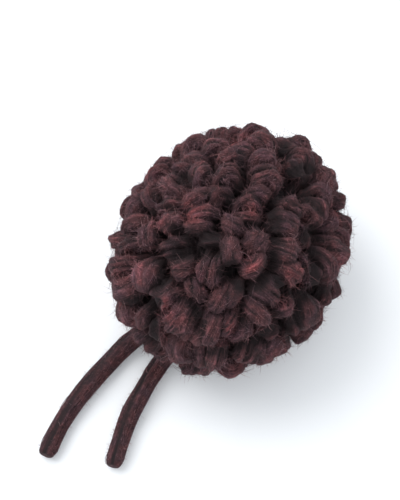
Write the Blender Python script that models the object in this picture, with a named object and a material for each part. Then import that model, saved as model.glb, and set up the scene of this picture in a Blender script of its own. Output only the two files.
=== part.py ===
"""A yarn pom pom: a soft ball of wound loops that were never cut, and the two free ends of its tie.

The ball rests on z = 0, its long side along Y. The tie's ends leave it towards -Y and lie on z = 0.
Sizes are in millimetres up to the moment they become vertices, where MM turns them into metres.
"""

import math

import bmesh
import bpy
import numpy as np

MM = 0.001

# The ball is an ellipsoid pressed down a little onto what it lies on.
HALF_WIDE = 48.2
HALF_LONG = 57.0
HALF_TALL = 41.0
PRESSED = 3.5
HALVES = np.array((HALF_WIDE, HALF_LONG, HALF_TALL))
MIDDLE = np.array((0.0, 0.0, HALF_TALL - PRESSED))

# The roots of all loops are fused in a core. Both sizes are shares of the way from the middle out.
CORE_SHARE = 0.66
ROOT_SHARE = 0.60
CORE_LEVEL = 2

# One loop of roving, measured where it reaches the ball's surface. It narrows towards the middle.
FILL_WIDE = 5.4
LOOP_THICK = 5.6
LOOP_FILLED = 0.78
LOOP_GAP = 0.55
LOOP_EAVE = 1.5
CROWN_HALF = 1.9
CROWN_SHARE = 0.5
SHOULDER_DROP = 6.2

# A loop stays if it keeps this share of its width beside the others. Gaps are filled with further loops
# where at least this much width is free, more on the seen side, whose valleys stay open.
LEAST_SHARE = 0.72
LEAST_FILL = 4.9
LEAST_SEEN_FILL = 6.6

# The view that the fans below are read in: degrees round from -Y, and degrees up. A place beyond the
# ball's rim is drawn in by small steps until it meets the ball.
SEEN_AZIMUTH = 26.5
SEEN_ELEVATION = 63.0
RIM_STEPS = 60
RIM_STEP = 0.99

# Fans of neighbouring loops. across and up are the fan's middle in that view, in mm from the ball's
# middle. turn is the way the crowns run, in degrees from across. count loops lie side by side, each
# wide mm across its strand and span mm between its legs. lift mm raises them above the ball's surface.
FAN_COLUMNS = ("across", "up", "turn", "count", "wide", "span", "lift")
FANS = (
    (14.6, 33.1, 3, 3, 5.3, 8.4, 1.0),
    (8.1, 19.7, -12, 3, 5.3, 7.6, 0.5),
    (0.8, 8.3, -60, 1, 6.0, 6.6, 1.5),
    (-1.4, -0.4, 85, 1, 6.4, 7.0, 1.0),
    (11.0, 2.8, 68, 1, 7.2, 6.6, 1.0),
    (7.4, -6.6, 66, 1, 7.2, 7.0, 0.5),
    (24.0, 3.4, -25, 3, 5.3, 9.0, 0.5),
    (24.6, -10.4, -20, 1, 8.4, 8.4, 1.0),
    (27.4, 18.3, -25, 2, 5.8, 8.4, 0.5),
    (36.8, 17.0, -35, 2, 5.8, 8.2, 0.0),
    (-0.8, 34.8, 10, 3, 5.0, 8.6, 0.5),
    (-13.4, 32.3, 8, 1, 8.0, 5.8, 1.5),
    (-16.7, 42.0, 12, 1, 6.8, 7.4, 0.0),
    (-6.1, 45.8, 4, 1, 6.4, 7.4, 0.0),
    (-24.0, 30.3, -35, 3, 4.8, 8.2, 0.5),
    (-3.8, 24.2, 48, 1, 5.2, 7.6, 0.5),
    (-15.4, 22.4, 62, 1, 5.2, 7.6, 1.0),
    (-13.8, 13.6, 8, 2, 5.4, 9.4, 1.0),
    (-10.6, 4.4, -45, 1, 5.0, 8.0, -1.5),
    (-34.2, 22.4, 88, 1, 6.0, 8.0, 0.0),
    (-29.4, 17.8, 2, 1, 5.0, 8.0, 0.0),
    (-26.6, 24.0, 40, 1, 4.8, 7.4, -2.5),
    (-28.9, 12.0, 58, 1, 7.4, 5.6, 1.0),
    (-33.2, 4.8, 80, 1, 5.4, 7.0, 0.5),
    (-25.4, 5.3, -10, 1, 5.4, 8.4, 0.0),
    (-26.6, -1.4, 10, 1, 5.0, 8.6, -0.5),
    (-39.0, 26.0, 50, 1, 6.0, 7.6, 0.0),
    (-32.4, 32.6, 40, 1, 6.0, 7.6, 0.5),
    (-42.0, 17.6, 78, 2, 5.4, 7.6, 0.0),
    (-43.4, 9.8, 70, 1, 6.6, 7.2, 0.0),
    (-45.6, 2.6, 6, 1, 6.0, 7.6, 1.0),
    (-35.8, -10.4, 84, 1, 9.2, 9.4, 1.5),
    (-45.9, -6.4, 0, 1, 6.4, 7.8, 1.5),
    (-45.0, -16.4, -8, 1, 7.8, 6.8, 1.5),
    (-18.7, -9.6, 30, 1, 8.2, 6.0, 1.0),
    (-9.3, -11.8, 88, 2, 5.0, 11.4, 0.5),
    (-15.2, -17.4, 60, 1, 5.0, 7.2, -1.0),
    (-4.1, -20.1, 78, 2, 5.3, 7.8, 0.5),
    (-26.0, -20.5, 20, 1, 7.0, 5.8, 1.0),
    (-21.8, -26.0, 80, 1, 7.0, 6.6, 0.5),
    (-0.8, -31.4, 86, 3, 5.3, 9.2, 0.5),
    (-16.7, -34.8, 70, 2, 5.0, 9.0, 0.0),
    (-22.8, -43.4, 80, 1, 8.2, 7.0, 0.0),
    (10.6, -26.4, -35, 2, 6.2, 8.4, 0.5),
    (16.6, -33.0, -30, 1, 5.8, 7.6, 0.0),
    (17.0, -18.4, -55, 1, 5.4, 7.8, 0.5),
    (23.6, -21.6, 85, 1, 7.6, 6.8, 0.5),
    (31.2, -10.4, -60, 1, 5.4, 8.2, 0.0),
    (39.2, -7.6, -60, 2, 5.6, 9.8, 0.5),
    (45.6, 0.8, -10, 2, 5.8, 8.4, 0.5),
    (43.6, -19.2, 80, 1, 6.4, 8.2, 0.0),
    (33.8, 4.8, 70, 1, 5.2, 7.6, -1.0),
    (43.8, 12.4, 84, 1, 5.4, 8.0, 0.0),
    (40.6, 23.6, 70, 1, 5.0, 7.6, 0.0),
    (39.4, 31.0, 60, 1, 5.0, 8.0, 0.0),
    (32.6, 38.0, -30, 2, 5.4, 8.6, 0.5),
    (33.0, -25.4, 84, 1, 9.0, 9.4, 0.5),
    (38.6, -29.4, 70, 1, 6.0, 8.0, 0.0),
    (25.0, -33.2, 88, 1, 4.6, 9.6, 0.5),
    (18.4, -41.0, 76, 1, 8.2, 8.4, 0.0),
    (6.0, -44.4, 84, 2, 6.0, 8.8, 0.0),
    (-4.6, -45.4, 84, 1, 6.0, 8.4, 0.0),
    (-12.6, -46.2, 86, 1, 8.0, 8.0, 0.0),
    (-43.0, -26.0, 80, 1, 5.0, 8.0, 0.0),
    (-37.0, -28.4, 55, 1, 4.6, 7.8, 0.0),
    (-31.4, -36.0, 82, 1, 4.6, 8.2, 0.0),
    (5.8, 45.8, 2, 1, 6.4, 8.0, 0.5),
    (15.2, 47.0, 0, 1, 6.4, 8.0, 0.5),
    (24.6, 44.8, -14, 1, 6.6, 8.4, 0.5),
)

# The side away from that view has the same fans, spread evenly and turned and sized by chance.
HIDDEN_FANS = 60
HIDDEN_COUNTS = (2, 3, 1, 3, 2)
HIDDEN_FACING = -0.12
HIDDEN_WIDE = (4.8, 7.6)
HIDDEN_SPAN = (6.6, 9.4)
LOOP_LIFT = (-1.6, 1.2)
LOOP_VARIES = (0.92, 1.08)
CHANCE_SEED = 41
FILL_TRIES = 5000
FILL_SPANS = (7.8, 6.2)
MOST_LOOPS = 216

# How loops settle beside each other: rounds, how far apart two loops' middles still matter, and the
# shares of an overlap, of an overlap with the tie and of the way home that one round moves them.
SETTLING_ROUNDS = 160
SETTLING_NEAR = 26.0
SETTLING_PUSH = 0.3
SETTLING_ASIDE = 0.2
SETTLING_HOLD = 0.04

# The tie's ends: hand-chosen points of each route in mm. They lie on the surface once they reach it.
TAIL_WIDE = 7.0
TAIL_LIES = 3.6
TAIL_CLEAR = 0.8
TAIL_STEP = 14.0
TAIL_BEVELS = 2
CURVE_STEPS = 24

# The tie passes between the loops: how often its route is looked at, and how far out it still counts.
SHADOW_STEP = 2.0
SHADOW_REACH = 1.12

TAIL_LEFT_ROUTE = (
    (-16.5, -29.5, 17.2),
    (-21.6, -35.6, 8.4),
    (-26.4, -43.4, TAIL_LIES),
    (-29.6, -56.0, TAIL_LIES),
    (-32.6, -70.0, TAIL_LIES),
    (-34.0, -84.0, TAIL_LIES),
    (-33.2, -101.0, TAIL_LIES),
)
TAIL_RIGHT_ROUTE = (
    (-5.0, -33.5, 15.5),
    (-8.4, -40.0, 7.8),
    (-10.3, -48.0, TAIL_LIES),
    (-10.8, -60.0, TAIL_LIES),
    (-10.2, -74.0, TAIL_LIES),
    (-6.6, -93.0, TAIL_LIES),
)

YARN_COLOUR = (0.052, 0.028, 0.032, 1.0)
YARN_ROUGHNESS = 0.92


def seen_axes():
    """Across, up and towards the eye, in the view that FANS is read in."""
    azimuth = math.radians(SEEN_AZIMUTH)
    tip = math.radians(SEEN_ELEVATION)
    across = np.array((math.cos(azimuth), math.sin(azimuth), 0.0))
    up = np.array((-math.sin(azimuth) * math.sin(tip), math.cos(azimuth) * math.sin(tip), math.cos(tip)))
    return across, up, np.cross(across, up)


def reach(points):
    """How far out points measured from the ball's middle are: 1 on the ball's surface."""
    return np.linalg.norm(points / HALVES, axis=-1)


def surface_normal(point):
    normal = point / HALVES**2
    return normal / np.linalg.norm(normal)


def along_surface(direction, point):
    """The direction laid into the ball's surface at a point."""
    normal = surface_normal(point)
    flat = direction - normal * direction.dot(normal)
    return flat / np.linalg.norm(flat)


def seen_point(right, up):
    """The near point of the ball at this place in the view, or its rim's nearest point."""
    across_axis, up_axis, eye = seen_axes()
    bend = eye / HALVES**2
    for _ in range(RIM_STEPS):
        flat = across_axis * right + up_axis * up
        inside = bend.dot(flat) ** 2 - bend.dot(eye) * ((flat / HALVES).dot(flat / HALVES) - 1.0)
        if inside > 0.0:
            return flat + eye * (math.sqrt(inside) - bend.dot(flat)) / bend.dot(eye)
        right *= RIM_STEP
        up *= RIM_STEP
    return flat / reach(flat)


def fan(point, along, count, wide, span, lift):
    """The loops of one fan: each has its two legs on the ball's surface, span, width and lift."""
    sideways = np.cross(surface_normal(point), along)
    loops = []
    for place in range(count):
        middle = point + sideways * (wide + LOOP_GAP) * (place - (count - 1) / 2)
        middle = middle / reach(middle)
        way = along_surface(along, middle)
        loops.append((middle - way * span / 2, middle + way * span / 2, span, wide, lift))
    return loops


def seen_loops():
    across_axis, up_axis, _ = seen_axes()
    loops = []
    for row in FANS:
        named = dict(zip(FAN_COLUMNS, row))
        point = seen_point(named["across"], named["up"])
        turn = math.radians(named["turn"])
        along = along_surface(across_axis * math.cos(turn) + up_axis * math.sin(turn), point)
        loops += fan(point, along, named["count"], named["wide"], named["span"], named["lift"])
    return loops


def chance_way(chance, point):
    """Any direction in the ball's surface at a point."""
    return along_surface(chance.standard_normal(3), point)


def hidden_loops(chance):
    eye = seen_axes()[2]
    golden = math.pi * (3.0 - math.sqrt(5.0))
    loops = []
    for place in range(HIDDEN_FANS * 2):
        height = 1.0 - (2 * place + 1) / (HIDDEN_FANS * 2)
        ring = math.sqrt(1.0 - height * height)
        way = np.array((ring * math.cos(golden * place), ring * math.sin(golden * place), height))
        point = way * HALVES
        if surface_normal(point).dot(eye) > HIDDEN_FACING:
            continue
        count = HIDDEN_COUNTS[place % len(HIDDEN_COUNTS)]
        span = chance.uniform(*HIDDEN_SPAN)
        wide = chance.uniform(*HIDDEN_WIDE)
        loops += fan(point, chance_way(chance, point), count, wide, span, 0.0)
    return loops


def with_eaves(starts, ends):
    """The legs' places moved out to where the corners of the loops' ends need room."""
    ways = ends - starts
    eaves = ways / np.linalg.norm(ways, axis=-1, keepdims=True) * LOOP_EAVE
    return starts - eaves, ends + eaves


def nearest_shares(start_a, end_a, start_b, end_b):
    """For pairs of straight lines, the share of the way along each at which the two come nearest."""
    way_a = end_a - start_a
    way_b = end_b - start_b
    between = start_a - start_b
    long_a = (way_a * way_a).sum(-1)
    long_b = (way_b * way_b).sum(-1)
    both = (way_a * way_b).sum(-1)
    on_a = (way_a * between).sum(-1)
    on_b = (way_b * between).sum(-1)
    spread = np.maximum(long_a * long_b - both * both, 1e-9)
    share_a = np.clip((both * on_b - on_a * long_b) / spread, 0.0, 1.0)
    share_b = np.clip((both * share_a + on_b) / long_b, 0.0, 1.0)
    share_a = np.clip((both * share_b - on_a) / long_a, 0.0, 1.0)
    return share_a, share_b


def tail_shadow():
    """Where the tie's ends pass between the loops: points on the ball's surface and their half widths."""
    points = []
    halves = []
    for route in (TAIL_LEFT_ROUTE, TAIL_RIGHT_ROUTE):
        line = tail_points(route, SHADOW_STEP) - MIDDLE
        for point, out in zip(line, reach(line)):
            if out < SHADOW_REACH:
                points.append(point / out)
                halves.append((TAIL_WIDE / 2 + TAIL_CLEAR) / out)
    return np.array(points), np.array(halves)


def settle(starts, ends, spans, wides, shadow, shadow_halves):
    """Pushes loops apart on the ball's surface until each has its own width, and off the tie's ends."""
    first, second = np.triu_indices(len(starts), 1)
    home_starts = starts.copy()
    home_ends = ends.copy()
    for turn in range(SETTLING_ROUNDS):
        middles = (starts + ends) / 2
        near = np.linalg.norm(middles[first] - middles[second], axis=1) < SETTLING_NEAR
        one = first[near]
        other = second[near]
        wide_starts, wide_ends = with_eaves(starts, ends)
        share_one, share_other = nearest_shares(
            wide_starts[one], wide_ends[one], wide_starts[other], wide_ends[other]
        )
        from_one = wide_starts[one] + (wide_ends[one] - wide_starts[one]) * share_one[:, None]
        from_other = wide_starts[other] + (wide_ends[other] - wide_starts[other]) * share_other[:, None]
        apart = from_other - from_one
        distance = np.maximum(np.linalg.norm(apart, axis=1), 1e-6)
        lack = np.maximum((wides[one] + wides[other]) / 2 + LOOP_GAP - distance, 0.0)
        push = apart / distance[:, None] * (lack * SETTLING_PUSH)[:, None]
        move_starts = np.zeros_like(starts)
        move_ends = np.zeros_like(ends)
        np.add.at(move_starts, one, -push * (1 - share_one)[:, None])
        np.add.at(move_ends, one, -push * share_one[:, None])
        np.add.at(move_starts, other, push * (1 - share_other)[:, None])
        np.add.at(move_ends, other, push * share_other[:, None])
        for moves, legs in ((move_starts, starts), (move_ends, ends)):
            off = legs[:, None, :] - shadow[None, :, :]
            away = np.maximum(np.linalg.norm(off, axis=2), 1e-6)
            short = np.maximum(wides[:, None] / 2 + shadow_halves[None, :] - away, 0.0)
            moves += (off / away[:, :, None] * (short * SETTLING_ASIDE)[:, :, None]).sum(axis=1)
        hold = SETTLING_HOLD * (1.0 - turn / SETTLING_ROUNDS)
        starts = starts + move_starts + (home_starts - starts) * hold
        ends = ends + move_ends + (home_ends - ends) * hold
        middles = (starts + ends) / 2
        middles = middles / reach(middles)[:, None]
        ways = ends - starts
        ways = ways / np.linalg.norm(ways, axis=1)[:, None] * spans[:, None] / 2
        starts = middles - ways
        ends = middles + ways
        starts = starts / reach(starts)[:, None]
        ends = ends / reach(ends)[:, None]
    return starts, ends


def free_width(start, end, starts, ends, wides, shadow, shadow_halves):
    """How wide a loop between these two legs can be, beside the loops and the tie's ends."""
    start, end = with_eaves(start, end)
    starts, ends = with_eaves(starts, ends)
    count = len(starts)
    own_start = np.broadcast_to(start, (count, 3))
    own_end = np.broadcast_to(end, (count, 3))
    share_own, share_other = nearest_shares(own_start, own_end, starts, ends)
    own = own_start + (own_end - own_start) * share_own[:, None]
    other = starts + (ends - starts) * share_other[:, None]
    room = (np.linalg.norm(own - other, axis=1) - LOOP_GAP) * 2 - wides
    share = np.clip((shadow - start) @ (end - start) / (end - start).dot(end - start), 0.0, 1.0)
    nearest = start + (end - start) * share[:, None]
    clear = (np.linalg.norm(shadow - nearest, axis=1) - shadow_halves) * 2
    return min(room.min(initial=3 * FILL_WIDE), clear.min())


def laid_loops():
    """Every loop of the ball: its legs on the surface, its width there and its lift."""
    chance = np.random.RandomState(CHANCE_SEED)
    loops = seen_loops() + hidden_loops(chance)
    starts, ends = (np.array([loop[leg] for loop in loops]) for leg in (0, 1))
    spans, wides, lifts = (np.array([loop[size] for loop in loops]) for size in (2, 3, 4))
    wides = wides * chance.uniform(*LOOP_VARIES, len(loops))
    lifts = lifts + chance.uniform(*LOOP_LIFT, len(loops))
    shadow, shadow_halves = tail_shadow()
    starts, ends = settle(starts, ends, spans, wides, shadow, shadow_halves)
    kept = []
    for place in range(len(loops)):
        have = np.array(kept, int)
        room = free_width(
            starts[place], ends[place], starts[have], ends[have], wides[have], shadow, shadow_halves
        )
        if room > wides[place] * LEAST_SHARE:
            wides[place] = min(wides[place], room)
            kept.append(place)
    laid = [(starts[place], ends[place], wides[place], lifts[place]) for place in kept]
    eye = seen_axes()[2]
    for span in FILL_SPANS:
        for _ in range(FILL_TRIES):
            if len(laid) >= MOST_LOOPS:
                break
            way = chance.standard_normal(3)
            point = way * HALVES / np.linalg.norm(way)
            along = chance_way(chance, point) * span / 2
            lift = chance.uniform(*LOOP_LIFT)
            have_starts, have_ends = (np.array([loop[leg] for loop in laid]) for leg in (0, 1))
            have_wides = np.array([loop[2] for loop in laid])
            room = free_width(
                point - along, point + along, have_starts, have_ends, have_wides, shadow, shadow_halves
            )
            least = LEAST_SEEN_FILL if surface_normal(point).dot(eye) > 0.0 else LEAST_FILL
            if room > least:
                laid.append((point - along, point + along, min(room, FILL_WIDE), lift))
    return laid


def loop_outline(span, depth, thick):
    """The middle line of a loop from root to root: how far along from its middle, and how high."""
    half = span / 2
    top = -thick / 2
    corner = min(CROWN_HALF, half * CROWN_SHARE)
    return (
        (-half, -depth),
        (-half, -SHOULDER_DROP),
        (-corner, top),
        (corner, top),
        (half, -SHOULDER_DROP),
        (half, -depth),
    )


def loop_edges(line, thick):
    """The outer and inner edge of a loop's side, half its thickness to each side of its middle line."""
    points = np.array(line)
    ways = np.diff(points, axis=0)
    ways = ways / np.linalg.norm(ways, axis=1)[:, None]
    outward = np.stack((-ways[:, 1], ways[:, 0]), axis=1)
    outer = []
    inner = []
    for place, point in enumerate(points):
        before = outward[max(place - 1, 0)]
        after = outward[min(place, len(ways) - 1)]
        mitre = (before + after) / (1.0 + before.dot(after))
        outer.append(point + mitre * thick / 2)
        inner.append(point - mitre * thick / 2)
    return outer, inner


def floor_share(point):
    """What shortens a point measured from the ball's middle so that it is no lower than the floor."""
    floor = -MIDDLE[2]
    return floor / point[2] if point[2] < floor else 1.0


def add_loop(mesh, start, end, wide, lift):
    """One loop: a flat outer face and a ridge inside, narrowing inwards, its crown level at the floor."""
    middle = (start + end) / 2
    far = np.linalg.norm(middle)
    out = middle / far
    along = (end - start) / np.linalg.norm(end - start)
    sideways = np.cross(out, along)
    span = np.linalg.norm(end - start)
    thick = min(LOOP_THICK, span * LOOP_FILLED)
    outer, inner = loop_edges(loop_outline(span, far * (1.0 - ROOT_SHARE) + lift, thick), thick)
    rings = []
    for outside, inside in zip(outer, inner):
        ring = []
        for edge, side in ((outside, -1), (outside, 1), (inside, 0)):
            share = 1.0 + (edge[1] + lift) / far
            ring.append((middle + along * edge[0] + sideways * wide / 2 * side) * share)
        raised = [floor_share(point) for point in ring[:2]]
        raised.append(sum(raised) / 2)
        rings.append([mesh.verts.new((point * up + MIDDLE) * MM) for point, up in zip(ring, raised)])
    for ring, following in zip(rings, rings[1:]):
        for place in range(3):
            after = (place + 1) % 3
            mesh.faces.new((ring[place], ring[after], following[after], following[place]))
    mesh.faces.new(rings[0][::-1])
    mesh.faces.new(rings[-1])


def collection(name):
    made = bpy.data.collections.new(name)
    bpy.context.scene.collection.children.link(made)
    return made


def yarn_material():
    material = bpy.data.materials.new("roving")
    material.use_nodes = True
    shader = material.node_tree.nodes["Principled BSDF"]
    shader.inputs["Base Color"].default_value = YARN_COLOUR
    shader.inputs["Roughness"].default_value = YARN_ROUGHNESS
    shader.inputs["Metallic"].default_value = 0.0
    return material


def mesh_object(name, mesh, home, material):
    data = bpy.data.meshes.new(name)
    bmesh.ops.recalc_face_normals(mesh, faces=mesh.faces)
    mesh.to_mesh(data)
    mesh.free()
    made = bpy.data.objects.new(name, data)
    made.data.materials.append(material)
    home.objects.link(made)
    return made


def make_ball(home, guides, material):
    """The core of fused roots with every loop joined to it."""
    roots = bmesh.new()
    bmesh.ops.create_icosphere(roots, subdivisions=CORE_LEVEL, radius=1.0)
    for vertex in roots.verts:
        place = np.array(vertex.co) * HALVES * CORE_SHARE + MIDDLE
        vertex.co = place * MM
    ball = mesh_object("pompom", roots, home, material)
    loops = bmesh.new()
    for start, end, wide, lift in laid_loops():
        add_loop(loops, start, end, wide, lift)
    added = mesh_object("loops", loops, guides, material)
    added.hide_render = True
    added.display_type = "WIRE"
    union = ball.modifiers.new("loops", "BOOLEAN")
    union.operation = "UNION"
    union.solver = "EXACT"
    union.object = added
    return ball


def tail_points(route, step):
    """Points every step mm along a smooth curve through a route's own points."""
    ends = [route[0], *route, route[-1]]
    curve = []
    for place in range(len(route) - 1):
        before, here, there, after = (np.array(point) for point in ends[place : place + 4])
        for share in np.linspace(0.0, 1.0, CURVE_STEPS, endpoint=False):
            curve.append(
                0.5
                * (
                    2 * here
                    + (there - before) * share
                    + (2 * before - 5 * here + 4 * there - after) * share**2
                    + (3 * here - before - 3 * there + after) * share**3
                )
            )
    curve.append(np.array(route[-1]))
    curve = np.array(curve)
    gone = np.concatenate(([0.0], np.cumsum(np.linalg.norm(np.diff(curve, axis=0), axis=1))))
    stops = np.linspace(0.0, gone[-1], max(2, round(gone[-1] / step) + 1))
    points = np.stack([np.interp(stops, gone, curve[:, axis]) for axis in range(3)], axis=1)
    points[:, 2] = np.maximum(points[:, 2], TAIL_LIES)
    return points


def make_tail(name, route, shift, home, material):
    curve = bpy.data.curves.new(name, "CURVE")
    curve.dimensions = "3D"
    curve.bevel_depth = TAIL_WIDE / 2 * MM
    curve.bevel_resolution = TAIL_BEVELS
    curve.use_fill_caps = True
    points = (tail_points(route, TAIL_STEP) + shift) * MM
    spline = curve.splines.new("POLY")
    spline.points.add(len(points) - 1)
    for target, point in zip(spline.points, points):
        target.co = (*point, 1.0)
    spline.use_smooth = True
    made = bpy.data.objects.new(name, curve)
    curve.materials.append(material)
    home.objects.link(made)
    return made


def centre_shift(made):
    """What brings the middle of the object's box over the origin, in mm."""
    bpy.context.view_layer.update()
    shaped = made.evaluated_get(bpy.context.evaluated_depsgraph_get())
    corners = np.array([vertex.co for vertex in shaped.data.vertices]) / MM
    middle = (corners.min(axis=0) + corners.max(axis=0)) / 2
    return np.array((-middle[0], -middle[1], 0.0))


def main():
    for made in list(bpy.data.objects):
        bpy.data.objects.remove(made, do_unlink=True)
    home = collection("yarn pom pom")
    guides = collection("joined shapes")
    material = yarn_material()
    ball = make_ball(home, guides, material)
    shift = centre_shift(ball)
    for part in (ball, *guides.objects):
        for vertex in part.data.vertices:
            vertex.co = (np.array(vertex.co) / MM + shift) * MM
    make_tail("tail_left", TAIL_LEFT_ROUTE, shift, home, material)
    make_tail("tail_right", TAIL_RIGHT_ROUTE, shift, home, material)


main()
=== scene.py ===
"""The yarn pom pom, dressed: every loop of roving, its loose fibres and the tie's two free ends.

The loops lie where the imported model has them: the same fans, settled by the same rule. Sizes are in
millimetres up to the moment they become vertices, where MM turns them into metres.
"""

import math

import bpy
import numpy as np
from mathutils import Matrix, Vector


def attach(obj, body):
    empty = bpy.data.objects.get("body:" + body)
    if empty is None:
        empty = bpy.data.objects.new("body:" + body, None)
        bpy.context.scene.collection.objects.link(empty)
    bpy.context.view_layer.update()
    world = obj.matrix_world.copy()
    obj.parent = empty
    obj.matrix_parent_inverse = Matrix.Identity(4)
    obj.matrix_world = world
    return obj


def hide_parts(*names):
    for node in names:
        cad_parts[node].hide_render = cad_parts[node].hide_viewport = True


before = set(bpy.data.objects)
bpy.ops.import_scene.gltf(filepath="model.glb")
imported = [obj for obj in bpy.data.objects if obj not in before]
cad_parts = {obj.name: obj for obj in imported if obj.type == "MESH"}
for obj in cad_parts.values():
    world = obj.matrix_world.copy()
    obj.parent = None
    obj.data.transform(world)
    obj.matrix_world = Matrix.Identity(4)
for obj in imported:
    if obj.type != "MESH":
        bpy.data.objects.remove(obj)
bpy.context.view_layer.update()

MM = 0.001

# The ball is an ellipsoid pressed down a little onto what it lies on.
HALF_WIDE = 48.2
HALF_LONG = 57.0
HALF_TALL = 41.0
PRESSED = 3.5
HALVES = np.array((HALF_WIDE, HALF_LONG, HALF_TALL))
MIDDLE = np.array((0.0, 0.0, HALF_TALL - PRESSED))

# The roots of all loops are packed in a core of this share of the ball.
CORE_SHARE = 0.68
CORE_ROWS = 48
CORE_SIDES = 72
CORE_RIPPLE = 0.025
# How far the core is painted in shade, as a share of full shade.
CORE_SHADE = 0.9

# Loops where they reach the ball's surface: the most width of one that fills a gap, the gap between two,
# and how far a loop's end reaches past its legs.
FILL_WIDE = 5.4
LOOP_GAP = 0.55
LOOP_EAVE = 1.5

# A loop stays if it keeps this share of its width beside the others. Gaps are filled with further loops
# where at least this much width is free, more on the seen side, whose valleys stay open.
LEAST_SHARE = 0.72
LEAST_FILL = 4.9
LEAST_SEEN_FILL = 6.6

# The view that the fans below are read in: degrees round from -Y, and degrees up. A place beyond the
# ball's rim is drawn in by small steps until it meets the ball.
SEEN_AZIMUTH = 26.5
SEEN_ELEVATION = 63.0
RIM_STEPS = 60
RIM_STEP = 0.99

# Fans of neighbouring loops. across and up are the fan's middle in that view, in mm from the ball's
# middle. turn is the way the crowns run, in degrees from across. count loops lie side by side, each
# wide mm across its strand and span mm between its legs. lift mm raises them above the ball's surface.
FAN_COLUMNS = ("across", "up", "turn", "count", "wide", "span", "lift")
FANS = (
    (14.6, 33.1, 3, 3, 5.3, 8.4, 1.0),
    (8.1, 19.7, -12, 3, 5.3, 7.6, 0.5),
    (0.8, 8.3, -60, 1, 6.0, 6.6, 1.5),
    (-1.4, -0.4, 85, 1, 6.4, 7.0, 1.0),
    (11.0, 2.8, 68, 1, 7.2, 6.6, 1.0),
    (7.4, -6.6, 66, 1, 7.2, 7.0, 0.5),
    (24.0, 3.4, -25, 3, 5.3, 9.0, 0.5),
    (24.6, -10.4, -20, 1, 8.4, 8.4, 1.0),
    (27.4, 18.3, -25, 2, 5.8, 8.4, 0.5),
    (36.8, 17.0, -35, 2, 5.8, 8.2, 0.0),
    (-0.8, 34.8, 10, 3, 5.0, 8.6, 0.5),
    (-13.4, 32.3, 8, 1, 8.0, 5.8, 1.5),
    (-16.7, 42.0, 12, 1, 6.8, 7.4, 0.0),
    (-6.1, 45.8, 4, 1, 6.4, 7.4, 0.0),
    (-24.0, 30.3, -35, 3, 4.8, 8.2, 0.5),
    (-3.8, 24.2, 48, 1, 5.2, 7.6, 0.5),
    (-15.4, 22.4, 62, 1, 5.2, 7.6, 1.0),
    (-13.8, 13.6, 8, 2, 5.4, 9.4, 1.0),
    (-10.6, 4.4, -45, 1, 5.0, 8.0, -1.5),
    (-34.2, 22.4, 88, 1, 6.0, 8.0, 0.0),
    (-29.4, 17.8, 2, 1, 5.0, 8.0, 0.0),
    (-26.6, 24.0, 40, 1, 4.8, 7.4, -2.5),
    (-28.9, 12.0, 58, 1, 7.4, 5.6, 1.0),
    (-33.2, 4.8, 80, 1, 5.4, 7.0, 0.5),
    (-25.4, 5.3, -10, 1, 5.4, 8.4, 0.0),
    (-26.6, -1.4, 10, 1, 5.0, 8.6, -0.5),
    (-39.0, 26.0, 50, 1, 6.0, 7.6, 0.0),
    (-32.4, 32.6, 40, 1, 6.0, 7.6, 0.5),
    (-42.0, 17.6, 78, 2, 5.4, 7.6, 0.0),
    (-43.4, 9.8, 70, 1, 6.6, 7.2, 0.0),
    (-45.6, 2.6, 6, 1, 6.0, 7.6, 1.0),
    (-35.8, -10.4, 84, 1, 9.2, 9.4, 1.5),
    (-45.9, -6.4, 0, 1, 6.4, 7.8, 1.5),
    (-45.0, -16.4, -8, 1, 7.8, 6.8, 1.5),
    (-18.7, -9.6, 30, 1, 8.2, 6.0, 1.0),
    (-9.3, -11.8, 88, 2, 5.0, 11.4, 0.5),
    (-15.2, -17.4, 60, 1, 5.0, 7.2, -1.0),
    (-4.1, -20.1, 78, 2, 5.3, 7.8, 0.5),
    (-26.0, -20.5, 20, 1, 7.0, 5.8, 1.0),
    (-21.8, -26.0, 80, 1, 7.0, 6.6, 0.5),
    (-0.8, -31.4, 86, 3, 5.3, 9.2, 0.5),
    (-16.7, -34.8, 70, 2, 5.0, 9.0, 0.0),
    (-22.8, -43.4, 80, 1, 8.2, 7.0, 0.0),
    (10.6, -26.4, -35, 2, 6.2, 8.4, 0.5),
    (16.6, -33.0, -30, 1, 5.8, 7.6, 0.0),
    (17.0, -18.4, -55, 1, 5.4, 7.8, 0.5),
    (23.6, -21.6, 85, 1, 7.6, 6.8, 0.5),
    (31.2, -10.4, -60, 1, 5.4, 8.2, 0.0),
    (39.2, -7.6, -60, 2, 5.6, 9.8, 0.5),
    (45.6, 0.8, -10, 2, 5.8, 8.4, 0.5),
    (43.6, -19.2, 80, 1, 6.4, 8.2, 0.0),
    (33.8, 4.8, 70, 1, 5.2, 7.6, -1.0),
    (43.8, 12.4, 84, 1, 5.4, 8.0, 0.0),
    (40.6, 23.6, 70, 1, 5.0, 7.6, 0.0),
    (39.4, 31.0, 60, 1, 5.0, 8.0, 0.0),
    (32.6, 38.0, -30, 2, 5.4, 8.6, 0.5),
    (33.0, -25.4, 84, 1, 9.0, 9.4, 0.5),
    (38.6, -29.4, 70, 1, 6.0, 8.0, 0.0),
    (25.0, -33.2, 88, 1, 4.6, 9.6, 0.5),
    (18.4, -41.0, 76, 1, 8.2, 8.4, 0.0),
    (6.0, -44.4, 84, 2, 6.0, 8.8, 0.0),
    (-4.6, -45.4, 84, 1, 6.0, 8.4, 0.0),
    (-12.6, -46.2, 86, 1, 8.0, 8.0, 0.0),
    (-43.0, -26.0, 80, 1, 5.0, 8.0, 0.0),
    (-37.0, -28.4, 55, 1, 4.6, 7.8, 0.0),
    (-31.4, -36.0, 82, 1, 4.6, 8.2, 0.0),
    (5.8, 45.8, 2, 1, 6.4, 8.0, 0.5),
    (15.2, 47.0, 0, 1, 6.4, 8.0, 0.5),
    (24.6, 44.8, -14, 1, 6.6, 8.4, 0.5),
)

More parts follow.
